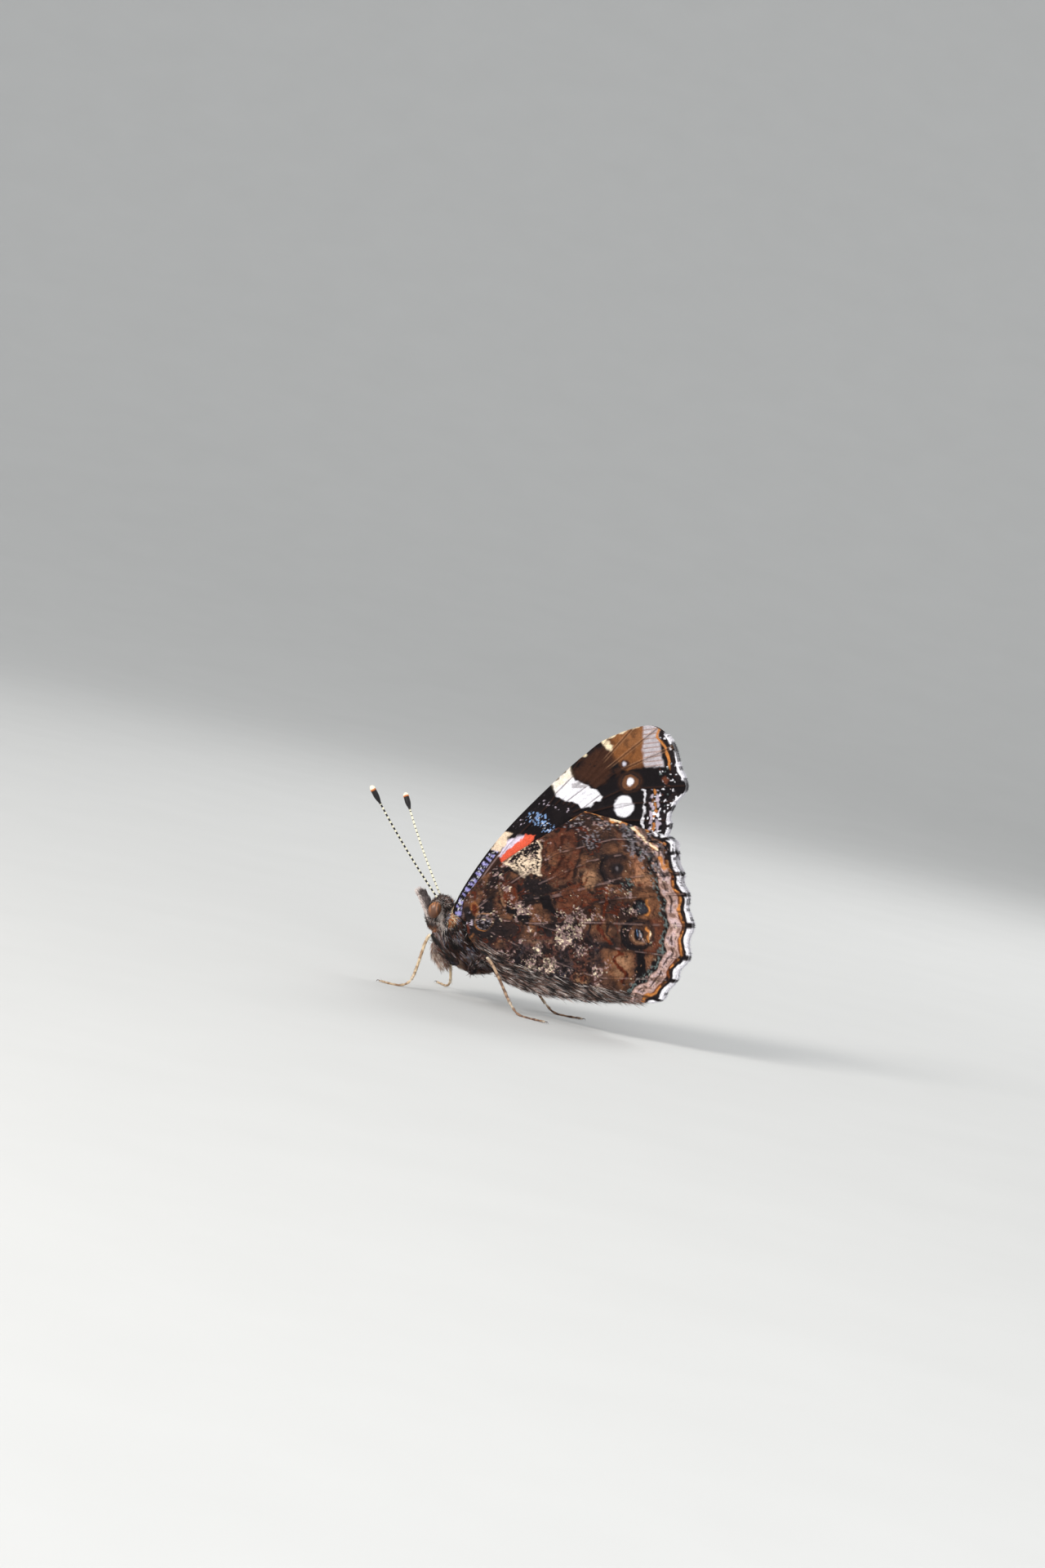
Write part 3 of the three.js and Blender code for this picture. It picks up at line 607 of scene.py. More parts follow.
    # Bands along the margin, from the inside out.
    front = smooth(1098, 1050, v)
    wobble = margin + 3.2 * (noise(u, v, 12, 81) - 0.5) + 1.6 * (noise(u, v, 4, 82) - 0.5)
    p.coat(0.85 * smooth(40, 34, wobble) * smooth(26, 31, wobble) * front, SOOT)
    p.coat(0.92 * smooth(31.5, 29, wobble) * smooth(24, 26.5, wobble), BLACK)
    p.flecks(0.5 * smooth(36, 31, wobble) * smooth(24, 27, wobble), 2.2, MOSS, 83, 0.9)
    p.coat(0.95 * smooth(26, 23.5, wobble) * smooth(9.5, 11.5, wobble), ROSY)
    stripe = noise(place * 40, margin, 6, 84)
    band = smooth(25, 22, wobble) * smooth(11, 14, wobble)
    p.coat(0.36 * band * smooth(0.45, 0.75, stripe), LAVENDER)
    p.coat(0.7 * band * smooth(0.5, 0.25, stripe), EARTH)
    p.flecks(0.34 * band, 2.2, UMBER, 151, 0.8)
    p.flecks(0.20 * band, 1.8, CREAM, 153, 0.6)
    thin_line = 1 - smooth(0.6, 1.6, np.abs(wobble - 19.0))
    p.coat(0.9 * thin_line * p.blotches(0.3, 0.5, 7, 85), UMBER)
    p.coat(smooth(11.4, 10.4, wobble) * smooth(7.0, 8.0, wobble), ORANGE)
    for strength, inside, outside, torn, tone in (
            (0.85, (12.2, 11), (6.4, 8.0), (0.5, 0.62, 8, 155), RUST),
            (0.9, (11.8, 11), (6.4, 8.0), (0.6, 0.7, 5, 157), BLACK),
            (0.8, (12.2, 11.2), (9.2, 10.2), (0.4, 0.6, 9, 86), RUST)):
        strip = strength * smooth(*inside, wobble) * smooth(*outside, wobble)
        p.coat(strip * p.blotches(*torn), tone)
    p.coat(smooth(7.2, 6.4, wobble) * smooth(3.2, 4.0, wobble), SOOT)
    gate = np.abs(place - np.round(place))
    p.coat(smooth(4.0, 3.0, wobble) * smooth(0.06, 0.12, gate), WHITE)
    p.coat(0.9 * smooth(7, 4, wobble) * smooth(0.12, 0.06, gate), BLACK)
    p.coat(0.8 * smooth(12, 9, wobble) * smooth(0.1, 0.05, gate), BLACK)

    # Front part of the margin zone, mottled in black, cream and orange.
    p.flecks(0.5 * smooth(46, 36, margin) * smooth(22, 26, margin) * front, 3.0, GREY, 87)
    p.flecks(0.42 * smooth(46, 30, margin) * front, 3.4, BLACK, 88)
    edge_line = [(700, 1003), (712, 992), (722, 992), (739, 1000), (767, 1009), (786, 1023), (803, 1040),
                 (812, 1062)]
    d_edge = line_distance(p.wu, p.wv, edge_line)
    p.coat(smooth(12, 8, d_edge) * smooth(3, 6, d_edge) * 0.8, SOOT)
    p.flecks(0.34 * smooth(20, 12, d_edge) * smooth(3, 5, d_edge), 2.4, GREY, 89)
    p.flecks(0.16 * smooth(16, 8, d_edge) * smooth(3, 5, d_edge), 2.2, CREAM, 159, 0.8)
    p.coat(0.9 * smooth(3.0, 2.0, d_edge) * p.blotches(0.36, 0.5, 7, 161), ORANGE)
    p.coat(smooth(2.0, 1.2, d_edge) * p.blotches(0.42, 0.55, 6, 90), CREAM)

    # Flecks everywhere, denser towards the fold and round the cell's lower corner.
    dusty = 0.08 + 0.2 * p.cloudy(0.48, 0.62, 22, 181) + 0.3 * fold
    dusty = dusty + 0.22 * p.near([(612, 1100), (660, 1134), (700, 1130), (706, 1112)], 34, 8)
    dusty = dusty + 0.16 * p.near([(752, 1090), (768, 1100), (766, 1128)], 24, 8)
    dusty = dusty * (0.3 + 1.1 * p.cloudy(0.42, 0.58, 12, 183))
    inner = smooth(24, 30, margin)
    p.flecks(dusty * inner, 2.0, PINKISH, 91, 0.85)
    p.flecks(0.55 * dusty * inner, 1.7, CREAM, 93, 0.8)
    p.flecks((0.22 + 0.32 * fold) * inner, 2.2, BLACK, 95, 0.8)
    p.flecks(0.16 * inner, 1.6, TAN, 163, 0.6)
    p.coat(0.45 * inner * p.cloudy(0.56, 0.7, 5, 165), BLACK)

    # Pale lines of the veins.
    vein = np.min([line_distance(u, v, line) for line in HIND_VEINS], axis=0)
    p.coat(0.34 * smooth(1.1, 0.5, vein) * p.blotches(0.5, 0.66, 9, 97), PINKISH)
    p.coat(0.55 * smooth(2.4, 1.5, vein) * smooth(0.7, 1.3, vein), SOOT)
    p.grain(0.42, 1.7, 175)
    return p.colour, vein


# %% [markdown]
# ## Marks of the forewing
# They are laid from the root out: the front edge, the stripe of the cell, the blue dust, the
# white bar, the apex with its eyespots and the white oval, and the margin.

# %% Paint the forewing
FORE_VEINS = [
    [(565, 1112), (622, 1036), (672, 985), (713, 926)],
    [(680, 985), (716, 950), (745, 903)],
    [(690, 984), (728, 944), (775, 891)],
    [(696, 985), (745, 940), (803, 893)],
    [(700, 988), (750, 948), (822, 915)],
    [(702, 994), (762, 966), (836, 962)],
    [(700, 1000), (760, 984), (827, 981)],
    [(696, 1008), (760, 1004), (818, 1004)],
]
RUNG = 7.6


def paint_forewing(u, v, margin, place, front):
    """Front is the line of the front edge."""
    p = Painting(u, v, BLACK)
    p.coat(0.35 * p.cloudy(0.5, 0.7, 12, 111), SOOT)
    d_costa = line_distance(u, v, front)

    # Front edge near the root: violet with black rungs, and a brown line beside it.
    low = smooth(1030, 1038, v)
    p.coat(low * smooth(24, 18, d_costa) * smooth(9, 11, d_costa), UMBER)
    p.coat(low * 0.45 * smooth(1.4, 0.6, np.abs(d_costa - 13)), PINKISH)
    p.coat(low * smooth(10.5, 9.5, d_costa) * smooth(1.8, 2.8, d_costa), VIOLET)
    steps = (0.85 * v - 0.53 * u + 5.0 * (noise(u, v, 6, 112) - 0.5)) / RUNG
    wedge = 0.44 - 0.018 * d_costa
    p.coat(low * smooth(11.2, 9.6, d_costa) * smooth(wedge, wedge - 0.1, np.abs((steps % 1) - 0.5)), BLACK)
    p.flecks(0.4 * low * (d_costa < 11), 1.9, BLACK, 113, 0.9)
    p.flecks(0.34 * low * (d_costa < 10) * (d_costa > 2.6), 1.8, WHITE, 114, 0.6)

    # Cream corner, lavender bar and the orange-red stripe of the cell.
    p.patch([(603, 1040), (615, 1019), (627, 1020), (622, 1030), (611, 1042)], IVORY)
    p.patch([(609, 1048), (620, 1031), (633, 1024), (647, 1024), (640, 1035), (616, 1051)],
            PALE_LAVENDER)
    p.patch([(611, 1050), (629, 1035), (645, 1022), (658, 1024), (650, 1034), (616, 1058)], SCARLET,
            soft=0.9)
    p.patch([(614, 1060), (660, 1031), (664, 1036), (620, 1062)], BLACK, strength=0.8)

    # Blue dust in the black zone.
    p.flecks(0.46 * p.near([(652, 1000), (664, 1004), (672, 1014)], 13, 5), 2.1, BLUE, 115)
    p.flecks(0.26 * p.near([(652, 1000), (664, 1008), (674, 1018)], 9, 3), 2.0, WHITE, 116)
    p.flecks(0.36 * p.near([(664, 984), (676, 984), (694, 992)], 7, 2), 2.0, LAVENDER, 117)
    p.flecks(0.36 * p.near([(632, 1012), (642, 1004)], 6, 2), 2.0, LAVENDER, 118)
    p.flecks(0.10, 1.8, GREY, 119, 0.6)

    # White bar, cream at the front edge and crossed by the veins.
    bar = [(676, 958), (697, 939), (702, 950), (719, 962), (735, 973), (733, 982), (713, 991), (697, 980),
           (680, 973)]
    p.patch(bar, WHITE, soft=0.9)
    p.patch([(676, 958), (697, 939), (702, 950), (690, 962), (680, 968)], CREAM, strength=0.7, soft=4)
    d_bar = patch_distance(p.wu, p.wv, bar)
    for line in ([(678, 974), (702, 950)], [(694, 981), (722, 960)], [(713, 990), (736, 972)]):
        p.coat(0.75 * smooth(1.1, 0.5, line_distance(u, v, line)) * (d_bar < 0), GREY)

    # Brown apex.
    p.patch([(702, 948), (716, 928), (742, 912), (752, 930), (742, 958), (728, 962)], APEX_DARK,
            soft=4, strength=0.9)
    p.patch([(740, 908), (760, 894), (788, 888), (792, 938), (768, 946), (752, 932)], APEX, soft=4)
    p.patch([(754, 900), (786, 892), (788, 912), (760, 916)], APEX_LIGHT, soft=7, strength=0.7)
    p.coat(0.5 * p.cloudy(0.5, 0.65, 9, 121) * (u > 700) * (v < 965) * (margin > 26), APEX_DARK)
    p.patch([(737, 908), (743, 903), (750, 914), (746, 922), (740, 916)], CREAM, soft=1.6)
    p.line([(738, 906), (759, 896), (780, 890)], 3.4, CREAM, strength=0.85)
    p.disc((714, 925), (3.4, 2.6), CREAM)
    p.flecks(0.34 * smooth(14, 6, np.hypot(u - 722, v - 934)), 2.6, BLACK, 122)

    # Lavender-grey band inside the apex margin, streaked along the veins.
    band = [(785, 886), (806, 888), (808, 912), (810, 939), (789, 941), (786, 914)]
    p.patch(band, APEX_GREY, soft=2.2)
    d_band = patch_distance(u, v, band)
    for row in range(9):
        y = 893 + row * 5.6
        streak = line_distance(u, v, [(786, y + 1.6), (809, y - 1.2)])
        p.coat(0.5 * smooth(1.2, 0.4, streak) * (d_band < 0), APEX)

    # Eyespots and the white oval.
    p.patch([(742, 962), (770, 942), (814, 938), (832, 948), (838, 962), (822, 985), (816, 1020),
             (780, 1016), (740, 992), (735, 975)], BLACK, soft=2)
    p.disc((771, 958), (14, 12.5), APEX_DARK, soft=3)
    p.disc((771, 958), (10.6, 10), SPOT_BROWN, soft=2)
    p.ring((771, 958), 10.8, 1.8, SOOT)
    p.disc((771, 957), (4.0, 5.0), WHITE)
    p.disc((764, 936), (6, 6), APEX_DARK, soft=1.5)
    p.disc((764, 935), (2.2, 2.8), SPOT_WHITE, soft=1.2)
    p.disc((763, 987), (11.5, 13.6), WHITE, turn=10)
    p.line([(751, 990), (776, 984)], 1.2, GREY, strength=0.7, ragged=False)

    # Striped band under the bump, and the mottled black of the margin.
    zone = (v > 966) * (v < 1024)
    for offset, colour in ((0, WHITE), (5.2, SOOT), (8.6, LAVENDER), (12.4, ORANGE), (16.2, LAVENDER)):
        line = [(787 + offset, 968), (789 + offset, 990), (786 + offset * 1.15, 1018)]
        torn = smooth(0.22, 0.42, noise(u, v, 5, 273 + int(offset)))
        p.coat(0.85 * zone * torn * smooth(2.1, 1.1, line_distance(p.wu, p.wv, line)), colour)
    near = smooth(30, 22, margin) * (v > 938)
    p.flecks(0.32 * near, 3.0, WHITE, 123)
    p.flecks(0.22 * near, 3.4, MOSS, 124)
    p.flecks(0.22 * near * (v < 975), 3.2, BRICK, 125)
    p.disc((813, 955), (4, 3.2), BRICK)
    p.disc((833, 963), (7, 9), BLACK)

    # Margin: orange line, black line, white fringe with black gates.
    top = smooth(945, 935, v)
    gate = np.abs(place - np.round(place))
    hem = margin + 3.0 * (noise(u, v, 7, 177) - 0.5)
    p.coat(top * smooth(12, 11, hem) * smooth(8.4, 9.4, hem) * (u > 798), ORANGE)
    p.coat(smooth(9, 8, hem) * (u > 796), SOOT)
    p.flecks(0.3 * smooth(9, 7, hem) * (u > 796), 3.4, WHITE, 167)
    p.coat(smooth(2.6, 1.8, hem) * smooth(0.1, 0.18, gate) * (u > 796), WHITE)
    p.coat(smooth(10, 7, np.hypot(u - 833, v - 964)), BLACK)

    vein = np.min([line_distance(u, v, line) for line in FORE_VEINS], axis=0)
    apex = smooth(736, 744, u) * smooth(944, 936, v)
    p.coat(0.6 * smooth(1.2, 0.5, vein) * apex, APEX_DARK)
    p.coat(0.35 * smooth(0.9, 0.4, np.abs(vein - 1.6)) * apex, TAN)
    p.coat(0.4 * smooth(1.2, 0.5, vein) * (1 - apex) * (d_bar > 0), APEX_DARK)
    p.grain(0.16, 1.8, 179)
    return p.colour, vein


# %% [markdown]
# ## Upper faces
# Only a sliver of the upper faces shows between the closed wings. They are black with the
# red-orange band and, on the forewing, white spots at the tip.

# %% Paint the upper faces
def upper_rim(p, margin, place, wide):
    """White fringe with black at the veins, as on the underside."""
    gate = np.abs(place - np.round(place))
    p.coat(0.85 * smooth(wide + 1, wide, margin) * smooth(0.1, 0.2, gate), WHITE)


def paint_fore_upper(u, v, margin, place):
    p = Painting(u, v, SOOT)
    p.line([(690, 1080), (735, 1020), (745, 970), (735, 945)], 26, SCARLET, soft=2)
    p.patch([(676, 958), (697, 939), (719, 962), (735, 973), (713, 991)], WHITE)
    p.disc((763, 987), (7, 8), WHITE)
    p.disc((771, 957), (3, 3), WHITE)
    p.coat(smooth(640, 560, u), UMBER)
    upper_rim(p, margin, place, 4)
    return p.colour


def paint_hind_upper(u, v, margin, place):
    p = Painting(u, v, SOOT)
    p.coat(smooth(44, 38, margin) * smooth(6, 10, margin) * smooth(1030, 1050, v), SCARLET)
    p.flecks(0.14 * smooth(36, 30, margin) * smooth(14, 20, margin), 9, BLACK, 131)
    p.coat(smooth(690, 600, u), UMBER)
    upper_rim(p, margin, place, 3)
    return p.colour


# %% [markdown]
# ## Scale material
# The colour comes from the painting. On top of it each scale gets its own slight change of
# tone, and the scales and a finer grain give a low bump.

# %% Scale material
def node(tree, kind, **values):
    made = tree.nodes.new(kind)
    for key, value in values.items():
        if key in made.inputs:
            made.inputs[key].default_value = value
        else:
            setattr(made, key, value)
    return made


def new_material(name, settings):
    """New material, its node tree and its shader with the given inputs set."""
    material = bpy.data.materials.new(name)
    material.use_nodes = True
    shader = material.node_tree.nodes["Principled BSDF"]
    for key, value in settings.items():
        shader.inputs[key].default_value = value
    return material, material.node_tree, shader


def toned_paint(tree, shader, source, dark, light):
    """Puts the painted colours on the shader, darkened and lightened by the source."""
    paint = node(tree, "ShaderNodeAttribute", attribute_name="scales")
    tone = node(tree, "ShaderNodeMapRange", **{"To Min": dark, "To Max": light})
    blend = node(tree, "ShaderNodeVectorMath", operation="SCALE")
    tree.links.new(source, tone.inputs["Value"])
    tree.links.new(paint.outputs["Color"], blend.inputs[0])
    tree.links.new(tone.outputs["Result"], blend.inputs["Scale"])
    tree.links.new(blend.outputs["Vector"], shader.inputs["Base Color"])


def raised(tree, shader, height, strength, distance):
    """Bump of the shader from a height, with its distance in millimetres."""
    bump = node(tree, "ShaderNodeBump", Strength=strength, Distance=distance * MM)
    tree.links.new(height, bump.inputs["Height"])
    tree.links.new(bump.outputs["Normal"], shader.inputs["Normal"])
    return bump


SCALE_SIZE, GRAIN_SIZE, SCALE_TONES = 0.075, 0.05, (0.72, 1.26)


def scale_material(name):
    material, tree, shader = new_material(name, {"Roughness": 0.75, "Specular IOR Level": 0.08})
    where = node(tree, "ShaderNodeTexCoord")
    cells = node(tree, "ShaderNodeTexVoronoi", Scale=1 / (SCALE_SIZE * MM), Randomness=0.8, feature="F1")
    rows = node(tree, "ShaderNodeTexNoise", Scale=1 / (GRAIN_SIZE * MM), Detail=2.0)
    grey = node(tree, "ShaderNodeRGBToBW")
    mixed = node(tree, "ShaderNodeMath", operation="ADD")
    link = tree.links.new
    link(where.outputs["Object"], cells.inputs["Vector"])
    link(where.outputs["Object"], rows.inputs["Vector"])
    link(cells.outputs["Color"], grey.inputs[0])
    link(cells.outputs["Distance"], mixed.inputs[0])
    link(rows.outputs["Fac"], mixed.inputs[1])
    toned_paint(tree, shader, grey.outputs[0], *SCALE_TONES)
    raised(tree, shader, mixed.outputs[0], 0.16, 0.03)
    return material


WING_SCALES = scale_material("wing_scales")

# %% [markdown]
# ## Build the wings
# The margin distance is measured to the outer margin's own points, so the bands keep their
# width round every scallop. Veins stand a little proud of the membrane.

# %% Build the wings
PLAIN = (240, 160)
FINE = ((360, 240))
OUTER_VEINS = {"forewing": (4.5, 10.5), "hindwing": (1.6, 9.4)}
COARSE_STEP = 4
VEIN_HEIGHT, RIPPLE = 0.07, 0.03


def build_wing(kind, side):
    word = "left" if side < 0 else "right"
    plan, spread = (FORE_PLAN, fore_spread) if kind == "forewing" else (HIND_PLAN, hind_spread)
    columns, rows = FINE if side < 0 else PLAIN
    grid, place = wing_grid(plan, columns, rows)
    x, z = grid[..., 0], grid[..., 1]
    lateral = spread(x, z) + FACE_DEPTHS[kind]
    u, v = to_sheet(x + SHIFT_X, -lateral, z)
    low, high = OUTER_VEINS[kind]
    rim = [(a, b) for a, b, c in zip(u[:, -1], v[:, -1], place) if low <= c <= high][::3]
    margin = line_distance(u.ravel(), v.ravel(), rim)
    places = np.repeat(place, rows + 1)
    painter = paint_hindwing if kind == "hindwing" else paint_forewing
    front = list(zip(u[0, ::6], v[0, ::6]))
    colour, vein = painter(u.ravel(), v.ravel(), margin, places, front)
    ridge = VEIN_HEIGHT * smooth(3.2, 0.6, vein).reshape(lateral.shape)
    ripple = RIPPLE * (noise(u, v, 30, 141) - 0.5)
    outer = np.stack([x, side * (lateral + ridge + ripple), z], axis=-1)
    coarse = (slice(None, None, COARSE_STEP),) * 2
    inner = np.stack([x[coarse], side * (lateral[coarse] - MEMBRANE), z[coarse]], axis=-1)
    cu, cv = u[coarse].ravel(), v[coarse].ravel()
    coarse_margin = margin.reshape(u.shape)[coarse].ravel()
    coarse_places = places.reshape(u.shape)[coarse].ravel()
    upper_painter = paint_hind_upper if kind == "hindwing" else paint_fore_upper
    under = upper_painter(cu, cv, coarse_margin, coarse_places)
    points, faces = vane(outer, inner, side)
    wing = make_mesh(f"{kind}_{word}_vane", points, faces, np.concatenate([colour, under]))
    wing.data.materials.append(WING_SCALES)
    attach(wing, "root")
    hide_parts(f"{kind}_{word}")
    print(wing.name, len(wing.data.polygons), "triangles")


for kind in ("forewing", "hindwing"):
    for side in (-1, 1):
        build_wing(kind, side)

# %% [markdown]
# ## Body skin
# Thorax, abdomen and head are blocked in with spheres, joined, and remeshed into one
# seamless skin. The skin lies a little inside the solids, by the depth of the coat.

# %% Body skin
THORAX = {"at": (-5.35, 0, 6.6), "half": (4.2, 2.45, 3.35), "tilt": 31}
HEAD = {"at": (-9.75, 0, 8.45), "half": (1.45, 1.35, 1.95), "tilt": 12}
NECK = {"at": (-8.5, 0, 7.6), "half": (1.35, 1.1, 1.95), "tilt": 10}
THROAT = {"at": (-9.15, 0, 6.7), "half": (0.8, 0.75, 0.8), "tilt": 0}
EYE = {"at": (-10.0, 1.28, 8.76), "half": (0.75, 0.72, 1.02), "tilt": 14}
ABDOMEN_RINGS, RING_DEPTH = 7, 0.03
ABDOMEN_SWELL, ABDOMEN_SPAN, ABDOMEN_BLUNT = 0.2, 0.77, 0.55
COAT_DEPTH = 0.32
VOXEL = 0.13


def blocked(shape, shrink, segments=40):
    """A sphere drawn out to an egg in millimetres, as the CAD has it."""
    bpy.ops.mesh.primitive_uv_sphere_add(segments=segments, ring_count=segments // 2, radius=1)
    egg = bpy.context.object
    egg.scale = [h - shrink for h in shape["half"]]
    egg.rotation_euler = (0, math.radians(shape["tilt"]), 0)
    egg.location = shape["at"]
    bpy.ops.object.transform_apply(location=True, rotation=True, scale=True)
    return egg


def blocked_abdomen():
    """A tube of rings from the breast to the tip."""
    bpy.ops.mesh.primitive_cylinder_add(vertices=40, radius=1, depth=1, end_fill_type="TRIFAN")
    tube = bpy.context.object
    bpy.ops.object.mode_set(mode="EDIT")
    bpy.ops.mesh.select_all(action="DESELECT")
    bpy.ops.object.mode_set(mode="OBJECT")
    for edge in tube.data.edges:
        ends = [tube.data.vertices[k].co for k in edge.vertices]
        edge.select = abs(ends[0].z - ends[1].z) > 0.5
    bpy.ops.object.mode_set(mode="EDIT")
    bpy.ops.mesh.subdivide(number_cuts=70)
    bpy.ops.object.mode_set(mode="OBJECT")
    front, tip = np.array(ABDOMEN_FRONT), np.array(ABDOMEN_TIP)
    for vertex in tube.data.vertices:
        t = vertex.co.z + 0.5
        swell = math.sin(math.pi * (ABDOMEN_SWELL + ABDOMEN_SPAN * t)) ** ABDOMEN_BLUNT
        girth = ABDOMEN_RADIUS * swell - COAT_DEPTH * 0.7
        girth *= 1 + RING_DEPTH * math.cos(2 * math.pi * ABDOMEN_RINGS * t)
        y, dz = vertex.co.x * girth, vertex.co.y * girth
        x, z = front + (tip - front) * t
        vertex.co = (x, y, z + dz)
    return tube


def join_and_remesh(name, blocks, voxel, rounds):
    """One closed skin round the blocks, smoothed a few times."""
    bpy.ops.object.select_all(action="DESELECT")
    for block in blocks:
        block.select_set(True)
    bpy.context.view_layer.objects.active = blocks[0]
    bpy.ops.object.join()
    skin = bpy.context.object
    skin.name = name
    remesh = skin.modifiers.new("remesh", "REMESH")
    remesh.mode, remesh.voxel_size = "VOXEL", voxel
    bpy.ops.object.modifier_apply(modifier=remesh.name)
    relax = skin.modifiers.new("relax", "SMOOTH")
    relax.factor, relax.iterations = 0.5, rounds
    bpy.ops.object.modifier_apply(modifier=relax.name)
    bpy.ops.object.shade_smooth()
    return skin


def skin_arrays(skin):
    """Corner positions and normals of the skin's triangles, in millimetres."""
    mesh = skin.data
    mesh.calc_loop_triangles()
    points = np.empty(len(mesh.vertices) * 3)
    normals = np.empty(len(mesh.vertices) * 3)
    mesh.vertices.foreach_get("co", points)
    mesh.vertices.foreach_get("normal", normals)
    corners = np.empty(len(mesh.loop_triangles) * 3, np.int32)
    mesh.loop_triangles.foreach_get("vertices", corners)
    return points.reshape(-1, 3), normals.reshape(-1, 3), corners.reshape(-1, 3)


def shrink_to_metres(thing):
    """Turns a finished mesh from millimetres to metres and puts it over the origin."""
    thing.data.transform(Matrix.Scale(MM, 4) @ Matrix.Translation((SHIFT_X, PLANE_Y, 0)))
    thing.data.update()


body_skin = join_and_remesh(
    "body_skin",
    [blocked(THORAX, COAT_DEPTH), blocked(HEAD, 0.22), blocked(NECK, 0.1), blocked(THROAT, 0.0),
     blocked_abdomen()],
    VOXEL, 6)
SKIN = skin_arrays(body_skin)
print("body skin", len(SKIN[0]), "points")

# %% [markdown]
# ## Coat
# A tuft is a thin bent spike with three sides. Roots are spread over the skin at random,
# by area, and each tuft lies along the way the hair is combed there.

# %% Coat helpers
TUFT_FACES = np.array([
    (0, 2, 1), (0, 1, 4), (0, 4, 3), (1, 2, 5), (1, 5, 4), (2, 0, 3), (2, 3, 5),
    (3, 4, 6), (4, 5, 6), (5, 3, 6)])
TUFT_PATCH = [(0, 0), (1, 0), (0.5, 0.4), (0.1, 0.5), (0.9, 0.5), (0.5, 0.7), (0.5, 1)]
UV_PATCH = 0.003
# Painted shade darkens the root of each tuft, and painted light brightens its tip.
ROOT_SHADE_TONE, TIP_LIGHT_TONE = 0.55, 1.25


def hair_mesh(name, points, faces, colours, uv=None):
    """A mesh with the hair material that rides on the root."""
    thing = make_mesh(name, points, faces, colours, uv)
    thing.data.materials.append(HAIR)
    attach(thing, "root")
    return thing


def spread_roots(arrays, count, dice, keep):
    """Random roots on a skin, with normals. Keep says how densely each place is covered."""
    points, normals, corners = arrays
    a, b, c = (points[corners[:, k]] for k in range(3))
    area = np.linalg.norm(np.cross(b - a, c - a), axis=1)
    area = area * keep((a + b + c) / 3)
    pick = dice.choice(len(corners), count, p=area / area.sum())
    w = dice.dirichlet((1, 1, 1), count)
    roots = sum(points[corners[pick, k]] * w[:, k:k + 1] for k in range(3))
    lean = sum(normals[corners[pick, k]] * w[:, k:k + 1] for k in range(3))
    return roots, lean / np.linalg.norm(lean, axis=1)[:, None]


def unit(x):
    """Rows of an array as directions of length 1."""
    return x / (np.linalg.norm(x, axis=1)[:, None] + 1e-12)


def tufts(name, roots, normals, lie, length, width, lift, colour, uv, droop=0.25, sink=0.05):
    """One mesh of many tufts. Lie is the combed direction and lift is in degrees."""
    n = len(roots)
    flat = unit(lie - normals * np.sum(lie * normals, axis=1)[:, None])
    rise = np.radians(lift)[:, None]
    out = unit(flat * np.cos(rise) + normals * np.sin(rise))
    late = unit(flat * np.cos(rise * droop) + normals * np.sin(rise * droop))
    across = unit(np.cross(out, normals))
    over = unit(np.cross(across, out))
    length, width = length[:, None], width[:, None]
    base = roots - normals * sink
    bend = base + out * length * 0.5
    tip = bend + late * length * 0.5
    places = []
    for centre, size in ((base, 1.0), (bend, 0.75)):
        for angle in (90, 210, 330):
            c, s = math.cos(math.radians(angle)), math.sin(math.radians(angle))
            places.append(centre + (across * c + over * s * 0.6) * width * size)
    points = np.stack(places + [tip], axis=1).reshape(-1, 3)
    faces = (TUFT_FACES[None] + 7 * np.arange(n)[:, None, None]).reshape(-1, 3)
    shades = np.repeat(colour[:, None, :], 7, axis=1)
    # Painted shade on the three root points, painted light on the tip point.
    shades[:, :3] *= ROOT_SHADE_TONE
    shades[:, 6] *= TIP_LIGHT_TONE
    corner = np.array(TUFT_PATCH) * UV_PATCH
    bake = np.clip(uv[:, None, :] + corner[None] - UV_PATCH / 2, 0, 1).reshape(-1, 2)
    coat = hair_mesh(name, points, faces, np.clip(shades.reshape(-1, 3), 0, 1), bake)
    print(name, n, "tufts")
    return coat


def skin_unwrap(roots, middle, span):
    """Unwrap of a round form: along its length, and round it by angle."""
    along = (roots[:, 0] - middle[0]) / span + 0.5
    angle = np.arctan2(roots[:, 1], roots[:, 2] - middle[2]) / (2 * np.pi) + 0.5
    return np.column_stack([0.02 + 0.96 * np.clip(along, 0, 1), 0.02 + 0.96 * angle])


STRAND_SIZE, STRAND_TONES = 0.12, (0.6, 1.4)


def hair_material(name):
    settings = {"Roughness": 0.6, "Specular IOR Level": 0.35, "Sheen Weight": 0.05}
    material, tree, shader = new_material(name, settings)
    where = node(tree, "ShaderNodeTexCoord")
    strands = node(tree, "ShaderNodeTexNoise", Scale=1 / (STRAND_SIZE * MM), Detail=3.0)
    tree.links.new(where.outputs["Object"], strands.inputs["Vector"])
    toned_paint(tree, shader, strands.outputs["Fac"], *STRAND_TONES)
    raised(tree, shader, strands.outputs["Fac"], 0.2, 0.02)
    return material


HAIR = hair_material("hair")
DARK_HAIR, BROWN_HAIR, GREY_HAIR = rgb(20, 16, 16), rgb(58, 41, 35), rgb(150, 142, 140)
BLUE_GREY, RUSTY_HAIR, BUFF_HAIR = rgb(116, 116, 130), rgb(108, 62, 44), rgb(172, 142, 118)
PINK_HAIR, PALE_HAIR = rgb(142, 106, 92), rgb(208, 196, 188)
TEGULA_TONE, FACE_TONE, CHEEK_TONE = rgb(176, 108, 62), rgb(84, 72, 68), rgb(150, 88, 50)


def mixed_colours(dice, count, palette, weights):
    """A tone for each tuft, picked by weight."""
    pick = dice.choice(len(palette), count, p=np.array(weights) / np.sum(weights))
    shade = 0.75 + 0.5 * dice.rand(count)
    return np.array(palette)[pick] * shade[:, None]


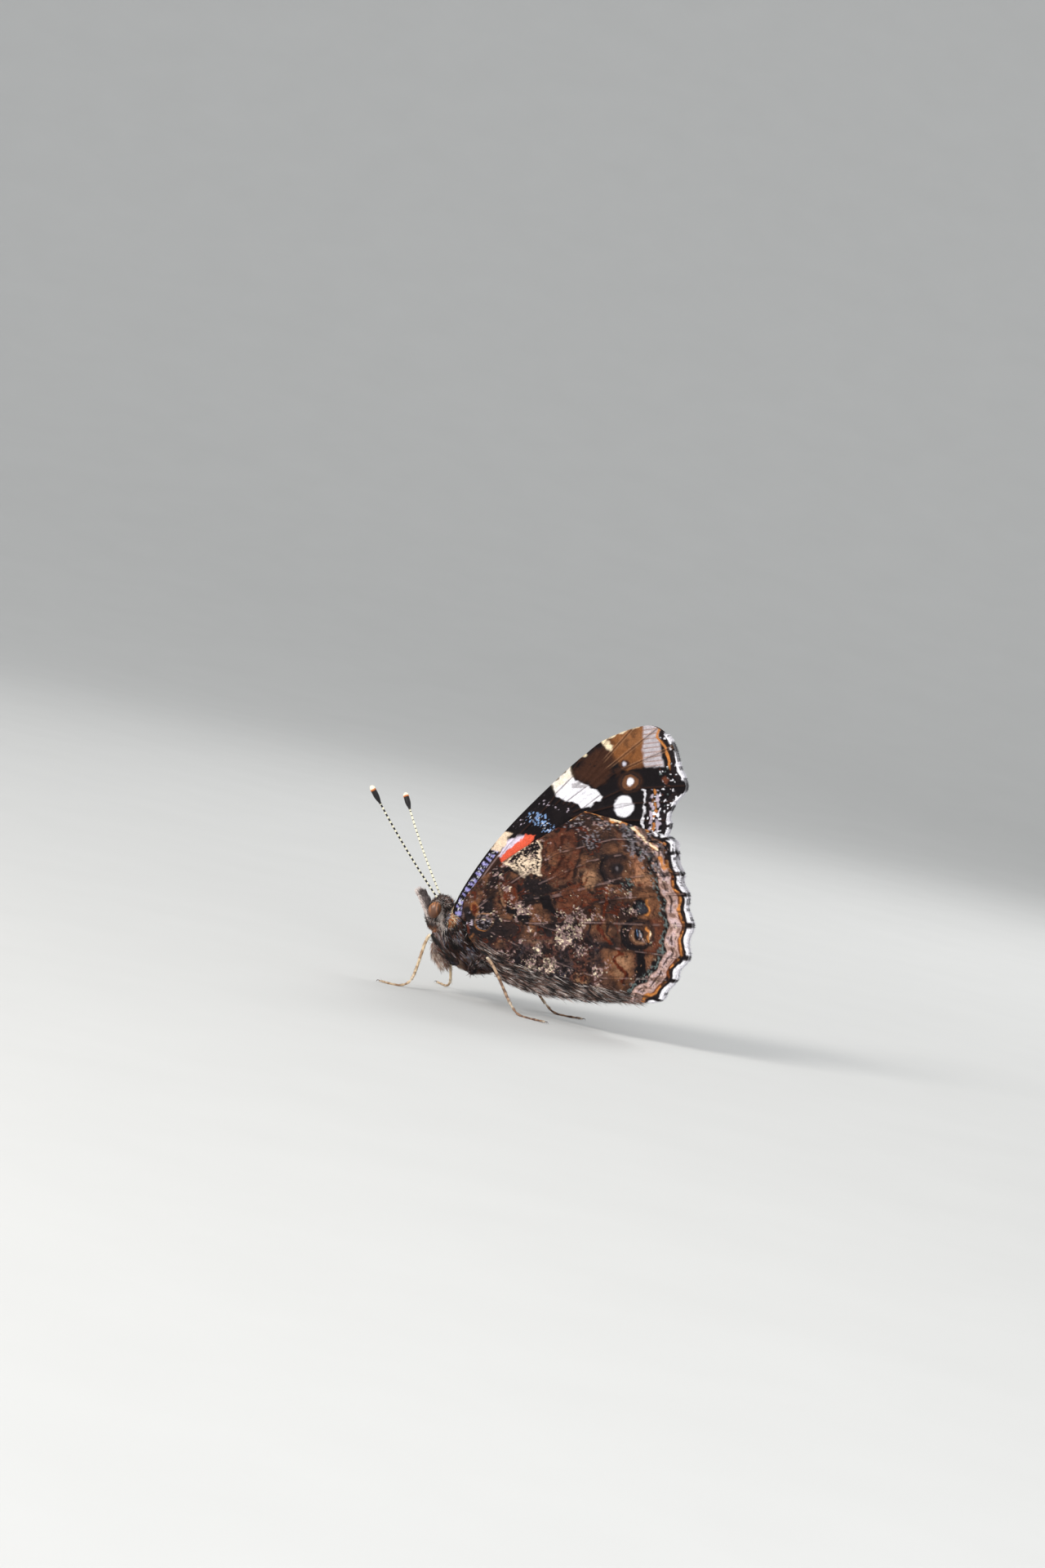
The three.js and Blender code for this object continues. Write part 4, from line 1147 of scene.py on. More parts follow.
# Locks run down and back, and are longer than they are wide.
LOCK_DIRECTION = (0.6, 0.8)
LOCK_STRETCH = 0.3


def clumped_colours(dice, roots, palette, weights, size=0.5, seed=221):
    """Neighbouring tufts share a tone more often than not, so the hair falls in locks."""
    down, back = LOCK_DIRECTION
    along = back * roots[:, 0] - down * roots[:, 2]
    across = down * roots[:, 0] + back * roots[:, 2] + 0.4 * roots[:, 1]
    field = clouds(along * LOCK_STRETCH, across, size, seed, 2)
    field = field + 0.14 * dice.normal(size=len(roots))
    order = np.argsort(np.argsort(field)) / len(roots)
    bounds = np.cumsum(np.array(weights) / np.sum(weights))
    pick = np.minimum(np.searchsorted(bounds, order), len(palette) - 1)
    return np.array(palette)[pick] * (0.7 + 0.6 * dice.rand(len(roots)))[:, None]


# %% [markdown]
# The hair of the thorax is combed back and down. It is dark with grey and rusty strands,
# greyer at the neck, and pinkish under the breast, where it is longest.

# %% Thorax coat
THORAX_TUFTS = 17000


def thorax_field(roots, normals, dice):
    """Combed direction, length and tone of each tuft."""
    n = len(roots)
    side = np.sign(roots[:, 1])
    lie = np.column_stack([np.full(n, 0.72), 0.12 * side, np.full(n, -0.62)])
    top = smooth(0.2, 0.8, normals[:, 2])[:, None]
    neck = smooth(-7.2, -8.4, roots[:, 0])[:, None]
    lie = mix(lie, [0.9, 0, 0.35], top)
    lie = mix(lie, [0.5, 0, 0.75], neck * top)
    below = smooth(0.2, -0.6, normals[:, 2] * 0.8 + normals[:, 0] * 0.6)[:, None]
    lie = mix(lie, [0.92, 0, -0.38], below)
    lie = lie + 0.22 * dice.normal(size=(n, 3))
    length = 0.95 + 0.35 * below[:, 0] + 0.2 * top[:, 0] + 0.3 * dice.rand(n)
    base = clumped_colours(dice, roots, [DARK_HAIR, BROWN_HAIR, RUSTY_HAIR, BLUE_GREY, GREY_HAIR],
                           [0.54, 0.16, 0.16, 0.07, 0.07], 0.24, 221)
    rusty = clumped_colours(dice, roots, [DARK_HAIR, RUSTY_HAIR, PINK_HAIR, BUFF_HAIR],
                            [0.34, 0.28, 0.2, 0.18], 0.26, 231)
    grey = clumped_colours(dice, roots, [DARK_HAIR, BROWN_HAIR, BLUE_GREY, GREY_HAIR, PALE_HAIR],
                           [0.4, 0.28, 0.12, 0.12, 0.08], 0.22, 225)
    pink = smooth(0.42, 0.6, clouds(roots[:, 0] * 10, roots[:, 2] * 10, 16, 201))[:, None]
    low = smooth(5.0, 3.4, roots[:, 2] + 0.3 * (roots[:, 0] + 6))[:, None]
    colour = mix(base, rusty, pink * low)
    hem = below * smooth(4.9, 3.7, roots[:, 2])[:, None]
    colour = mix(colour, rusty, hem * 0.85)
    collar = smooth(-7.4, -8.3, roots[:, 0])[:, None]
    length = length + 0.2 * collar[:, 0] * top[:, 0]
    colour = mix(colour, grey, collar)
    tegula = smooth(0.6, 0.35, np.hypot(roots[:, 0] + 7.9, (roots[:, 2] - 8.9) * 0.4))[:, None]
    amber = mixed_colours(dice, n, [TEGULA_TONE, CREAM, BROWN_HAIR], [0.6, 0.25, 0.15])
    colour = mix(colour, amber, tegula)
    return lie, length, colour


def is_thorax(places):
    return ((places[:, 0] > -8.8) & (places[:, 0] < -1.6)).astype(float)


dice = np.random.RandomState(31)
roots, normals = spread_roots(SKIN, THORAX_TUFTS, dice, is_thorax)
lie, length, colour = thorax_field(roots, normals, dice)
light = smooth(0.04, 0.2, colour.mean(axis=1))
coat = tufts("coat_thorax", roots, normals, lie, length, 0.03 + 0.05 * light,
             16 + 22 * dice.rand(len(roots)), colour, skin_unwrap(roots, THORAX["at"], 22))

# %% [markdown]
# Between and behind the wing roots the abdomen is mostly hidden, so its coat is shorter.

# %% Abdomen coat
ABDOMEN_TUFTS = 8000


def is_abdomen(places):
    return (places[:, 0] > -2.4).astype(float)


dice = np.random.RandomState(32)
roots, normals = spread_roots(SKIN, ABDOMEN_TUFTS, dice, is_abdomen)
lie = np.array([1.0, 0, -0.12]) + 0.15 * dice.normal(size=roots.shape)
colour = mixed_colours(dice, len(roots), [DARK_HAIR, GREY_HAIR, RUSTY_HAIR, BUFF_HAIR],
                       [0.5, 0.2, 0.15, 0.15])
coat = tufts("coat_abdomen", roots, normals, lie, 0.45 + 0.25 * dice.rand(len(roots)),
             np.full(len(roots), 0.05), 10 + 10 * dice.rand(len(roots)), colour,
             skin_unwrap(roots, THORAX["at"], 34))

# %% [markdown]
# ## Head
# The crest on the crown stands up and back, and a pale stripe runs down behind the eye.

# %% Head coat
HEAD_TUFTS = 8000


def eye_clearance(places):
    """Zero inside the eye's outline seen from the side, one well outside it."""
    return smooth(0.8, 0.95, eye_outline(places)) + (np.abs(places[:, 1]) < 0.6)


def eye_outline(places):
    """Distance from the eye's middle in eye radii, seen from the side."""
    dx, dz = places[:, 0] - EYE["at"][0], places[:, 2] - EYE["at"][2]
    c, s = math.cos(math.radians(EYE["tilt"])), math.sin(math.radians(EYE["tilt"]))
    a, b = dx * c - dz * s, dx * s + dz * c
    return np.hypot(a / EYE["half"][0], b / EYE["half"][2])


def is_head(places):
    return (places[:, 0] <= -8.5) * np.clip(eye_clearance(places), 0, 1)


dice = np.random.RandomState(33)
roots, normals = spread_roots(SKIN, HEAD_TUFTS, dice, is_head)
n = len(roots)
crown = smooth(9.0, 10.0, roots[:, 2])[:, None]
front = smooth(-10.4, -11.0, roots[:, 0])[:, None]
chin = smooth(7.6, 6.9, roots[:, 2])[:, None]
lie = np.array([0.35, 0, -0.9]) * (1 - crown) + np.array([0.75, 0, 0.5]) * crown
lie = mix(lie, [-0.35, 0, 0.8], front)
lie = mix(lie, [0.6, 0, -0.8], chin) + 0.32 * dice.normal(size=(n, 3))
rim = smooth(1.5, 1.15, eye_outline(roots)) * smooth(-0.3, 0.2, roots[:, 0] - EYE["at"][0])
lie = lie + np.array([-0.9, 0, -0.2]) * rim[:, None]
length = 0.42 + 0.3 * crown[:, 0] + 0.3 * front[:, 0] + 0.3 * chin[:, 0] + 0.3 * dice.rand(n) ** 2
colour = clumped_colours(dice, roots, [DARK_HAIR, BROWN_HAIR, GREY_HAIR, PINK_HAIR, PALE_HAIR],
                         [0.36, 0.26, 0.13, 0.15, 0.10], 0.2, 223)
dusk = mixed_colours(dice, n, [FACE_TONE, DARK_HAIR, GREY_HAIR], [0.5, 0.3, 0.2])
colour = mix(colour, dusk, front)
stripe = smooth(0.36, 0.12, np.abs(roots[:, 0] + 9.05 + 0.30 * (roots[:, 2] - 8.0)))
stripe = (stripe * smooth(9.8, 9.2, roots[:, 2]))[:, None]
pale = mixed_colours(dice, n, [PALE_HAIR, GREY_HAIR], [0.8, 0.2])
colour = mix(colour, pale, stripe)
cheek = (smooth(7.4, 6.8, roots[:, 2]) * smooth(-9.2, -9.8, roots[:, 0]))[:, None]
colour = mix(colour, mixed_colours(dice, n, [CHEEK_TONE, BUFF_HAIR], [0.7, 0.3]), cheek)
coat = tufts("coat_head", roots, normals, lie, length, np.full(n, 0.035),
             24 + 40 * crown[:, 0] * dice.rand(n) + 22 * dice.rand(n), colour,
             skin_unwrap(roots, HEAD["at"], 8))

# %% Skin under the coat
SKIN_DARK, SKIN_LIGHT = rgb(24, 19, 18), rgb(70, 52, 44)
shrink_to_metres(body_skin)
skin_paint, tree, shader = new_material("body_skin_paint", {"Roughness": 0.7})
where = node(tree, "ShaderNodeTexCoord")
blotch = node(tree, "ShaderNodeTexNoise", Scale=1 / (0.5 * MM), Detail=4.0)
ramp = node(tree, "ShaderNodeValToRGB")
ramp.color_ramp.elements[0].color = (*SKIN_DARK, 1)
ramp.color_ramp.elements[1].color = (*SKIN_LIGHT, 1)
tree.links.new(where.outputs["Object"], blotch.inputs["Vector"])
tree.links.new(blotch.outputs["Fac"], ramp.inputs["Fac"])
tree.links.new(ramp.outputs["Color"], shader.inputs["Base Color"])
raised(tree, shader, blotch.outputs["Fac"], 0.5, 0.05)
body_skin.data.materials.append(skin_paint)
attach(body_skin, "root")
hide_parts("thorax", "abdomen", "head")

# %% [markdown]
# ## Eyes
# Each eye is a tall brown dome with rows of facets and soft vertical bands. Its top carries painted light,
# and its lower part and its rear carry painted shade.

# %% Eyes
# Lit and shaded tones of the eye's one brown: painted light above, painted shade below and at the rear.
EYE_SHADED_BELOW, EYE_LIT_ABOVE = rgb(106, 66, 44), rgb(168, 108, 64)
EYE_BAND, EYE_SHADED_REAR = rgb(92, 58, 38), rgb(40, 26, 20)
FACET = 0.035
SIDES = (("left", -1), ("right", 1))
eye_paint, tree, shader = new_material("eye_paint", {"Roughness": 0.42, "Coat Weight": 0.15})
paint = node(tree, "ShaderNodeAttribute", attribute_name="scales")
where = node(tree, "ShaderNodeTexCoord")
facets = node(tree, "ShaderNodeTexVoronoi", Scale=1 / (FACET * MM), feature="F1")
tree.links.new(where.outputs["Object"], facets.inputs["Vector"])
tree.links.new(paint.outputs["Color"], shader.inputs["Base Color"])
raised(tree, shader, facets.outputs["Distance"], 0.35, 0.01).invert = True

for word, side in SIDES:
    shape = dict(EYE, at=(EYE["at"][0], side * EYE["at"][1], EYE["at"][2]))
    eye = blocked(shape, 0.02, 48)
    eye.name = f"eye_{word}_dome"
    eye.data.name = eye.name
    points, _, _ = skin_arrays(eye)
    x, z = points[:, 0] - shape["at"][0], points[:, 2] - shape["at"][2]
    bands = clouds(x * 60 + z * 14, z * 9, 9, 211)
    # Painted light and shade: the colour runs from the shaded tone below to the lit tone at the top.
    upper = smooth(-0.7, 0.7, z)[:, None]
    light = mix(EYE_SHADED_BELOW, EYE_LIT_ABOVE, upper)
    streak = smooth(0.4, 0.6, bands)[:, None]
    tone = mix(light, EYE_BAND, streak)
    # Painted shade darkens the rear of the eye.
    dark = smooth(0.25, 0.75, x + 0.25 * z)[:, None]
    tone = mix(tone, EYE_SHADED_REAR, 0.7 * dark)
    layer = eye.data.color_attributes.new("scales", "FLOAT_COLOR", "POINT")
    layer.data.foreach_set("color", np.column_stack([tone, np.ones(len(tone))]).ravel())
    bpy.ops.object.shade_smooth()
    shrink_to_metres(eye)
    eye.data.materials.append(eye_paint)
    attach(eye, "root")
    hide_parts(f"eye_{word}")

# %% [markdown]
# ## Rods
# Palps, feelers and legs are rods of round section along a smooth path. A rod carries a
# colour for each ring of points, which gives the feelers their white rings.

# %% Rod helpers
SPAN_STEPS = 24


def nearest(path, place):
    """Number of the path's point that lies nearest to a place."""
    return int(np.argmin(np.linalg.norm(path - np.array(place), axis=1)))


def smooth_path(points, count):
    """Even steps along a smooth curve through the given points."""
    p = np.array(points, float)
    p = np.vstack([2 * p[0] - p[1], p, 2 * p[-1] - p[-2]])
    out = []
    for k in range(1, len(p) - 2):
        chords = np.linalg.norm(np.diff(p[k - 1:k + 3], axis=0), axis=1)
        knots = np.concatenate([[0], np.cumsum(np.sqrt(chords))])
        for t in np.linspace(knots[1], knots[2], SPAN_STEPS, endpoint=False):
            level = list(p[k - 1:k + 3])
            for depth in range(1, 4):
                following = []
                for i in range(4 - depth):
                    low, high = (i, i + depth) if depth < 3 else (1, 2)
                    share = (t - knots[low]) / (knots[high] - knots[low])
                    following.append(level[i] * (1 - share) + level[i + 1] * share)
                level = following
            out.append(level[0])
    out.append(p[-2])
    out = np.array(out)
    run = np.concatenate([[0], np.cumsum(np.linalg.norm(np.diff(out, axis=0), axis=1))])
    even = np.linspace(0, run[-1], count)
    return np.column_stack([np.interp(even, run, out[:, k]) for k in range(3)])


def rod_arrays(path, radii, sides, colours):
    """Closed rod. Colours hold one colour for each ring."""
    tangent = unit(np.gradient(path, axis=0))
    guide = np.array([0.0, 1.0, 0.0]) if abs(tangent[:, 1]).mean() < 0.8 else np.array([1.0, 0, 0])
    across = unit(np.cross(tangent, guide))
    over = np.cross(tangent, across)
    angles = np.linspace(0, 2 * np.pi, sides, endpoint=False)
    ring = across[:, None] * np.cos(angles)[None, :, None] + over[:, None] * np.sin(angles)[None, :, None]
    points = path[:, None] + ring * np.asarray(radii)[:, None, None]
    count = len(path)
    k, s = np.meshgrid(np.arange(count - 1), np.arange(sides), indexing="ij")
    a, b = k * sides + s, k * sides + (s + 1) % sides
    c, d = b + sides, a + sides
    faces = halves(a, b, c, d)
    start, end = count * sides, count * sides + 1
    first = np.arange(sides)
    last = (count - 1) * sides + first
    caps = [np.stack([np.full(sides, start), np.roll(first, -1), first], -1),
            np.stack([np.full(sides, end), last, np.roll(last, -1)], -1)]
    points = np.vstack([points.reshape(-1, 3), path[:1], path[-1:]])
    shades = np.vstack([np.repeat(colours, sides, axis=0), colours[:1], colours[-1:]])
    return points, np.concatenate([faces] + caps), shades


def hair_rod(name, path, radii, sides, colours):
    return hair_mesh(name, *rod_arrays(path, radii, sides, colours))


def round_ends(t, blunt):
    """Share of the full radius along a rod whose ends are rounded off."""
    end = np.clip(np.minimum(t, 1 - t) / blunt, 0, 1)
    return np.sqrt(np.clip(1 - (1 - end) ** 2, 0.0004, 1))


def rod_unwrap(t, angle):
    """Unwrap of a rod: along its length, and round it by angle."""
    return np.column_stack([0.02 + 0.96 * t, 0.02 + 0.96 * (angle % 1)])


def rod_roots(path, radii, count, dice, low=0.0, high=1.0):
    """Random roots on a rod, with normals, the way along and the angle round it."""
    t = low + (high - low) * dice.rand(count)
    at = t * (len(path) - 1)
    i = np.clip(at.astype(int), 0, len(path) - 2)
    f = (at - i)[:, None]
    centre = path[i] * (1 - f) + path[i + 1] * f
    tangent = unit(path[i + 1] - path[i])
    guide = np.array([0.0, 1.0, 0.0])
    across = unit(np.cross(tangent, guide))
    over = np.cross(tangent, across)
    angle = dice.rand(count)
    turn = 2 * np.pi * angle[:, None]
    normal = across * np.cos(turn) + over * np.sin(turn)
    radius = np.interp(at, np.arange(len(path)), radii)[:, None]
    return centre + normal * radius, normal, tangent, t, angle


# %% [markdown]
# ## Palps
# The two palps rise in front of the face like a beak: whitish scales below and in front,
# dark grey-brown ones above.

# %% Palps
PALP_ROOT, PALP_BEND, PALP_TIP = (-9.95, 0.62, 6.9), (-11.1, 0.62, 8.6), (-12.35, 0.5, 10.3)
PALP_TUFTS = 2200
PALP_STEPS, PALP_CORE = 48, rgb(120, 110, 108)
PALP_DARKS, PALP_WHITES = [rgb(74, 62, 60), rgb(112, 100, 98)], [rgb(218, 206, 200), rgb(172, 156, 152)]
for word, side in SIDES:
    dice = np.random.RandomState(41 if side < 0 else 42)
    path = smooth_path([(x, y * side, z) for x, y, z in (PALP_ROOT, PALP_BEND, PALP_TIP)], PALP_STEPS)
    t = np.linspace(0, 1, PALP_STEPS)
    radii = (0.24 + 0.09 * smooth(0.1, 0.8, t)) * round_ends(t, 0.07)
    palp = hair_rod(f"palp_{word}_core", path, radii, 20, np.tile(PALP_CORE, (PALP_STEPS, 1)))
    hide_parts(f"palp_{word}")
    roots, normals, along, t, angle = rod_roots(path, radii, PALP_TUFTS, dice)
    facing = -normals[:, 0] - 0.15 * normals[:, 2]
    lit = smooth(-0.2, 0.25, facing - 0.25 * smooth(0.35, 0.8, t) + 0.3)[:, None]
    behind = smooth(0.2, -0.5, facing)
    dark = mixed_colours(dice, len(t), PALP_DARKS, [0.6, 0.4])
    white = mixed_colours(dice, len(t), PALP_WHITES, [0.65, 0.35])
    colour = mix(dark, white, lit)
    tip_dark = smooth(0.72, 0.9, t)[:, None] * (1 - lit)
    colour = colour * (1 - 0.3 * tip_dark)
    coat = tufts(f"coat_palp_{word}", roots, normals, along + 0.2 * dice.normal(size=roots.shape),
                 0.34 + 0.2 * dice.rand(len(t)) + 0.25 * behind * (t < 0.7) + 0.3 * lit[:, 0] * (t > 0.85),
                 np.full(len(t), 0.042),
                 14 + 16 * dice.rand(len(t)) + 16 * behind, colour, rod_unwrap(t, angle))

# %% [markdown]
# ## Feelers
# Each feeler is black with thin white rings. The club is black with a cream tip, a little
# orange under it.

# %% Feelers
FEELER_ROOT, FEELER_SAG = (-9.9, 0.7, 9.9), 0.35
FEELER_TIPS = {"left": (-19.4, -4.4, 20.87), "right": (-17.95, 4.4, 20.43)}
FEELER_STEPS, RINGS = 460, 26
RING_TONE, CLUB_ORANGE, CLUB_TIP = rgb(222, 218, 194), rgb(200, 110, 50), rgb(244, 232, 206)
for word, side in SIDES:
    root = np.array([FEELER_ROOT[0], side * FEELER_ROOT[1], FEELER_ROOT[2]])
    tip = np.array(FEELER_TIPS[word])
    middle = (root + tip) / 2 + np.array([-FEELER_SAG, 0, -FEELER_SAG])
    s = np.linspace(0, 1, FEELER_STEPS)
    t = s[:, None]
    path = root * (1 - t) ** 2 + 2 * middle * t * (1 - t) + tip * t ** 2
    swell = smooth(0.835, 0.92, s)
    beads = 0.008 * np.cos(2 * np.pi * s * RINGS) * (1 - swell)
    radii = (0.11 + 0.21 * swell + beads) * round_ends(s, 0.028)
    share = 0.27 if side < 0 else 0.1
    ringed = smooth(share - 0.03, share + 0.03, np.abs((s * RINGS) % 1 - 0.5)) * smooth(0.85, 0.84, s)
    colour = BLACK * (1 - ringed)[:, None] + RING_TONE * ringed[:, None]
    amber = smooth(0.955, 0.965, s)[:, None]
    cream = smooth(0.968, 0.975, s)[:, None]
    colour = mix(colour, CLUB_ORANGE, amber)
    colour = mix(colour, CLUB_TIP, cream)
    feeler = hair_rod(f"antenna_{word}_rod", path, radii, 16, colour)
    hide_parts(f"antenna_{word}")

# %% [markdown]
# ## Brush feet
# The front legs are too short to walk on. They hang under the chin as two tassels of
# pinkish-buff hair.

# %% Brush feet
BRUSH_PATH = [(-9.3, 1.0, 5.8), (-9.0, 1.1, 4.1), (-8.1, 1.25, 3.0)]
BRUSH_TUFTS = 700
BRUSH_STEPS = 36
BRUSH_TONES = [rgb(186, 148, 130), rgb(104, 74, 64), rgb(232, 214, 200)]
for word, side in SIDES:
    dice = np.random.RandomState(51 if side < 0 else 52)
    path = smooth_path([(x, y * side, z) for x, y, z in BRUSH_PATH], BRUSH_STEPS)
    t = np.linspace(0, 1, BRUSH_STEPS)
    radii = (0.18 - 0.12 * t) * round_ends(t, 0.08)
    core = hair_rod(f"foreleg_{word}_core", path, radii, 14, np.tile(BUFF_HAIR, (BRUSH_STEPS, 1)))
    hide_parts(f"foreleg_{word}")
    roots, normals, along, t, angle = rod_roots(path, radii, BRUSH_TUFTS, dice)
    colour = mixed_colours(dice, len(t), BRUSH_TONES, [0.4, 0.2, 0.4])
    coat = tufts(f"coat_foreleg_{word}", roots, normals, along + 0.2 * dice.normal(size=roots.shape),
                 0.7 + 0.8 * dice.rand(len(t)), np.full(len(t), 0.034),
                 8 + 16 * dice.rand(len(t)), colour, rod_unwrap(t, angle))

# %% [markdown]
# ## Walking legs
# Each leg is one smooth path that is parted at the knee and the ankle. Short scales lie
# along it, spines stand on the shin, and the foot has five joints and two claws.

# %% Walking legs
SOLE = 0.18
LEG_PATHS = {
    "mid_leg_left": [(-5.9, -1.5, 3.5), (-7.4, -2.9, 4.6), (-9.2, -3.3, 6.2), (-9.9, -4.9, 0.9),
                     (-10.6, -5.8, SOLE), (-12.9, -6.9, SOLE)],
    "mid_leg_right": [(-5.9, 1.5, 3.5), (-7.2, 2.9, 4.5), (-8.7, 3.3, 5.8), (-8.1, 4.7, 0.9),
                      (-8.6, 5.6, SOLE), (-10.2, 6.8, SOLE)],
    "hind_leg_left": [(-4.2, -1.5, 3.0), (-3.4, -3.7, 4.0), (-2.1, -4.5, 5.3), (2.1, -5.3, 0.9),
                      (3.2, -5.7, SOLE), (6.6, -6.6, SOLE)],
    "hind_leg_right": [(-4.2, 1.5, 3.0), (-3.3, 3.7, 4.0), (-1.8, 4.6, 5.1), (3.3, 5.0, 0.9),
                       (4.4, 5.3, SOLE), (7.6, 6.2, SOLE)],
}
KNEE, ANKLE = 2, 3
LEG_RADII = {"femur": (0.32, 0.2), "tibia": (0.19, 0.15), "tarsus": (0.13, 0.1)}
LEG_TONES = {
    "mid": {"femur": (BROWN_HAIR, DARK_HAIR), "tibia": (rgb(206, 182, 148), rgb(164, 132, 102)),
            "tarsus": (rgb(190, 164, 132), rgb(140, 108, 82))},
    "hind": {"femur": (BROWN_HAIR, RUSTY_HAIR), "tibia": (rgb(176, 146, 118), rgb(108, 80, 64)),
             "tarsus": (rgb(140, 108, 84), rgb(88, 62, 48))},
}
LEG_STEPS = 240
LEG_TUFTS = {"femur": 1700, "tibia": 420, "tarsus": 260}
LEG_HAIR = {"femur": 0.8, "tibia": 0.2, "tarsus": 0.14}
JOINT_TONE = rgb(222, 206, 182)
for number, (name, stops) in enumerate(LEG_PATHS.items()):
    dice = np.random.RandomState(60 + number)
    path = smooth_path(stops, LEG_STEPS)
    cuts = [0, nearest(path, stops[KNEE]), nearest(path, stops[ANKLE]), LEG_STEPS - 1]
    for k, piece in enumerate(("femur", "tibia", "tarsus")):
        part = path[cuts[k]:cuts[k + 1] + 1]
        t = np.linspace(0, 1, len(part))
        first, last = LEG_RADII[piece]
        radii = first + (last - first) * t
        if piece == "tarsus":
            radii = radii * (1 + 0.14 * np.cos(2 * np.pi * (t * 5 - 0.5)))
        if piece == "tibia":
            radii = radii * (0.92 + 0.2 * smooth(0.85, 1.0, t))
        radii = radii * round_ends(t, 0.05)
        pale, dusk = LEG_TONES[name.split("_")[0]][piece]
        bars = smooth(0.45, 0.6, noise(t * 60, t * 0, 2.4, 251 + number))[:, None]
        joint = smooth(0.12, 0.02, np.minimum(t, 1 - t))[:, None] * (piece != "femur")
        colour = mix(pale, dusk, bars)
        colour = mix(colour, JOINT_TONE, 0.8 * joint)
        leg = hair_rod(f"{name}_{piece}_rod", part, radii, 14, colour)
        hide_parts(f"{name}_{piece}")
        count = LEG_TUFTS[piece]
        roots, normals, along, t, angle = rod_roots(part, radii, count, dice, 0.02, 0.97)
        shade = mixed_colours(dice, count, [pale, dusk, BROWN_HAIR], [0.6, 0.28, 0.12])
        spiny = (dice.rand(count) < (0.12 if piece == "tibia" else 0.05)).astype(float)
        if piece == "femur":
            shade = clumped_colours(dice, roots, [DARK_HAIR, BROWN_HAIR, RUSTY_HAIR, BLUE_GREY, PALE_HAIR],
                                    [0.48, 0.2, 0.18, 0.08, 0.06], 0.24, 227)
        knee = smooth(0.7, 0.95, t) * (piece == "femur")
        lie = along + 0.1 * dice.normal(size=roots.shape)
        length = LEG_HAIR[piece] * (1 - 0.7 * knee) * (1 + 0.8 * spiny + 0.4 * dice.rand(count))
        coat = tufts(f"coat_{name}_{piece}", roots, normals, lie, length, 0.022 + 0 * t,
                     9 + 26 * spiny + 18 * (piece == "femur"), shade, rod_unwrap(t, angle), sink=0.02)

# %% Claws and spurs
SPIKE_BASE, SPIKE_END, SPIKE_STEPS = 0.05, 0.008, 12
CLAW_TONE, SPUR_TONE = rgb(60, 38, 26), rgb(206, 182, 150)
for name, stops in LEG_PATHS.items():
    path = smooth_path(stops, LEG_STEPS)
    heading = unit(path[-1:] - path[-6:-5])[0]
    across = np.cross(heading, (0, 0, 1))
    ankle = path[nearest(path, stops[ANKLE])]
    shin = unit((ankle - np.array(stops[KNEE]))[None])[0]
    spikes = []
    for sign in (-1, 1):
        claw = [path[-1] - heading * 0.15, path[-1] + heading * 0.16 + across * 0.1 * sign + (0, 0, 0.05),
                path[-1] + heading * 0.3 + across * 0.16 * sign - (0, 0, SOLE - 0.035)]
        spur = [ankle - shin * 0.2, ankle + shin * 0.15 + across * 0.14 * sign,
                ankle + shin * 0.5 + across * 0.3 * sign]
        spikes += [(claw, CLAW_TONE), (spur, SPUR_TONE)]
    points, faces, shades, offset = [], [], [], 0
    for bends, colour in spikes:
        route = smooth_path(bends, SPIKE_STEPS)
        thin = np.linspace(SPIKE_BASE, SPIKE_END, SPIKE_STEPS)
        p, f, c = rod_arrays(route, thin, 8, np.tile(colour, (SPIKE_STEPS, 1)))
        points.append(p)
        faces.append(f + offset)
        shades.append(c)
        offset += len(p)
    claws = hair_mesh(f"{name}_claws", np.vstack(points), np.vstack(faces), np.vstack(shades))

# %% [markdown]
# ## Fringe
# The outer margin of each wing carries a fringe of flat hair scales: white between the
# veins and black at them.

# %% Fringe
GATES = {"forewing": (0.22, 0.12), "hindwing": (0.11, 0.05)}
FRINGE_HALF, FRINGE_ROOT, FRINGE_RIDGE = 0.022, 0.12, 0.03


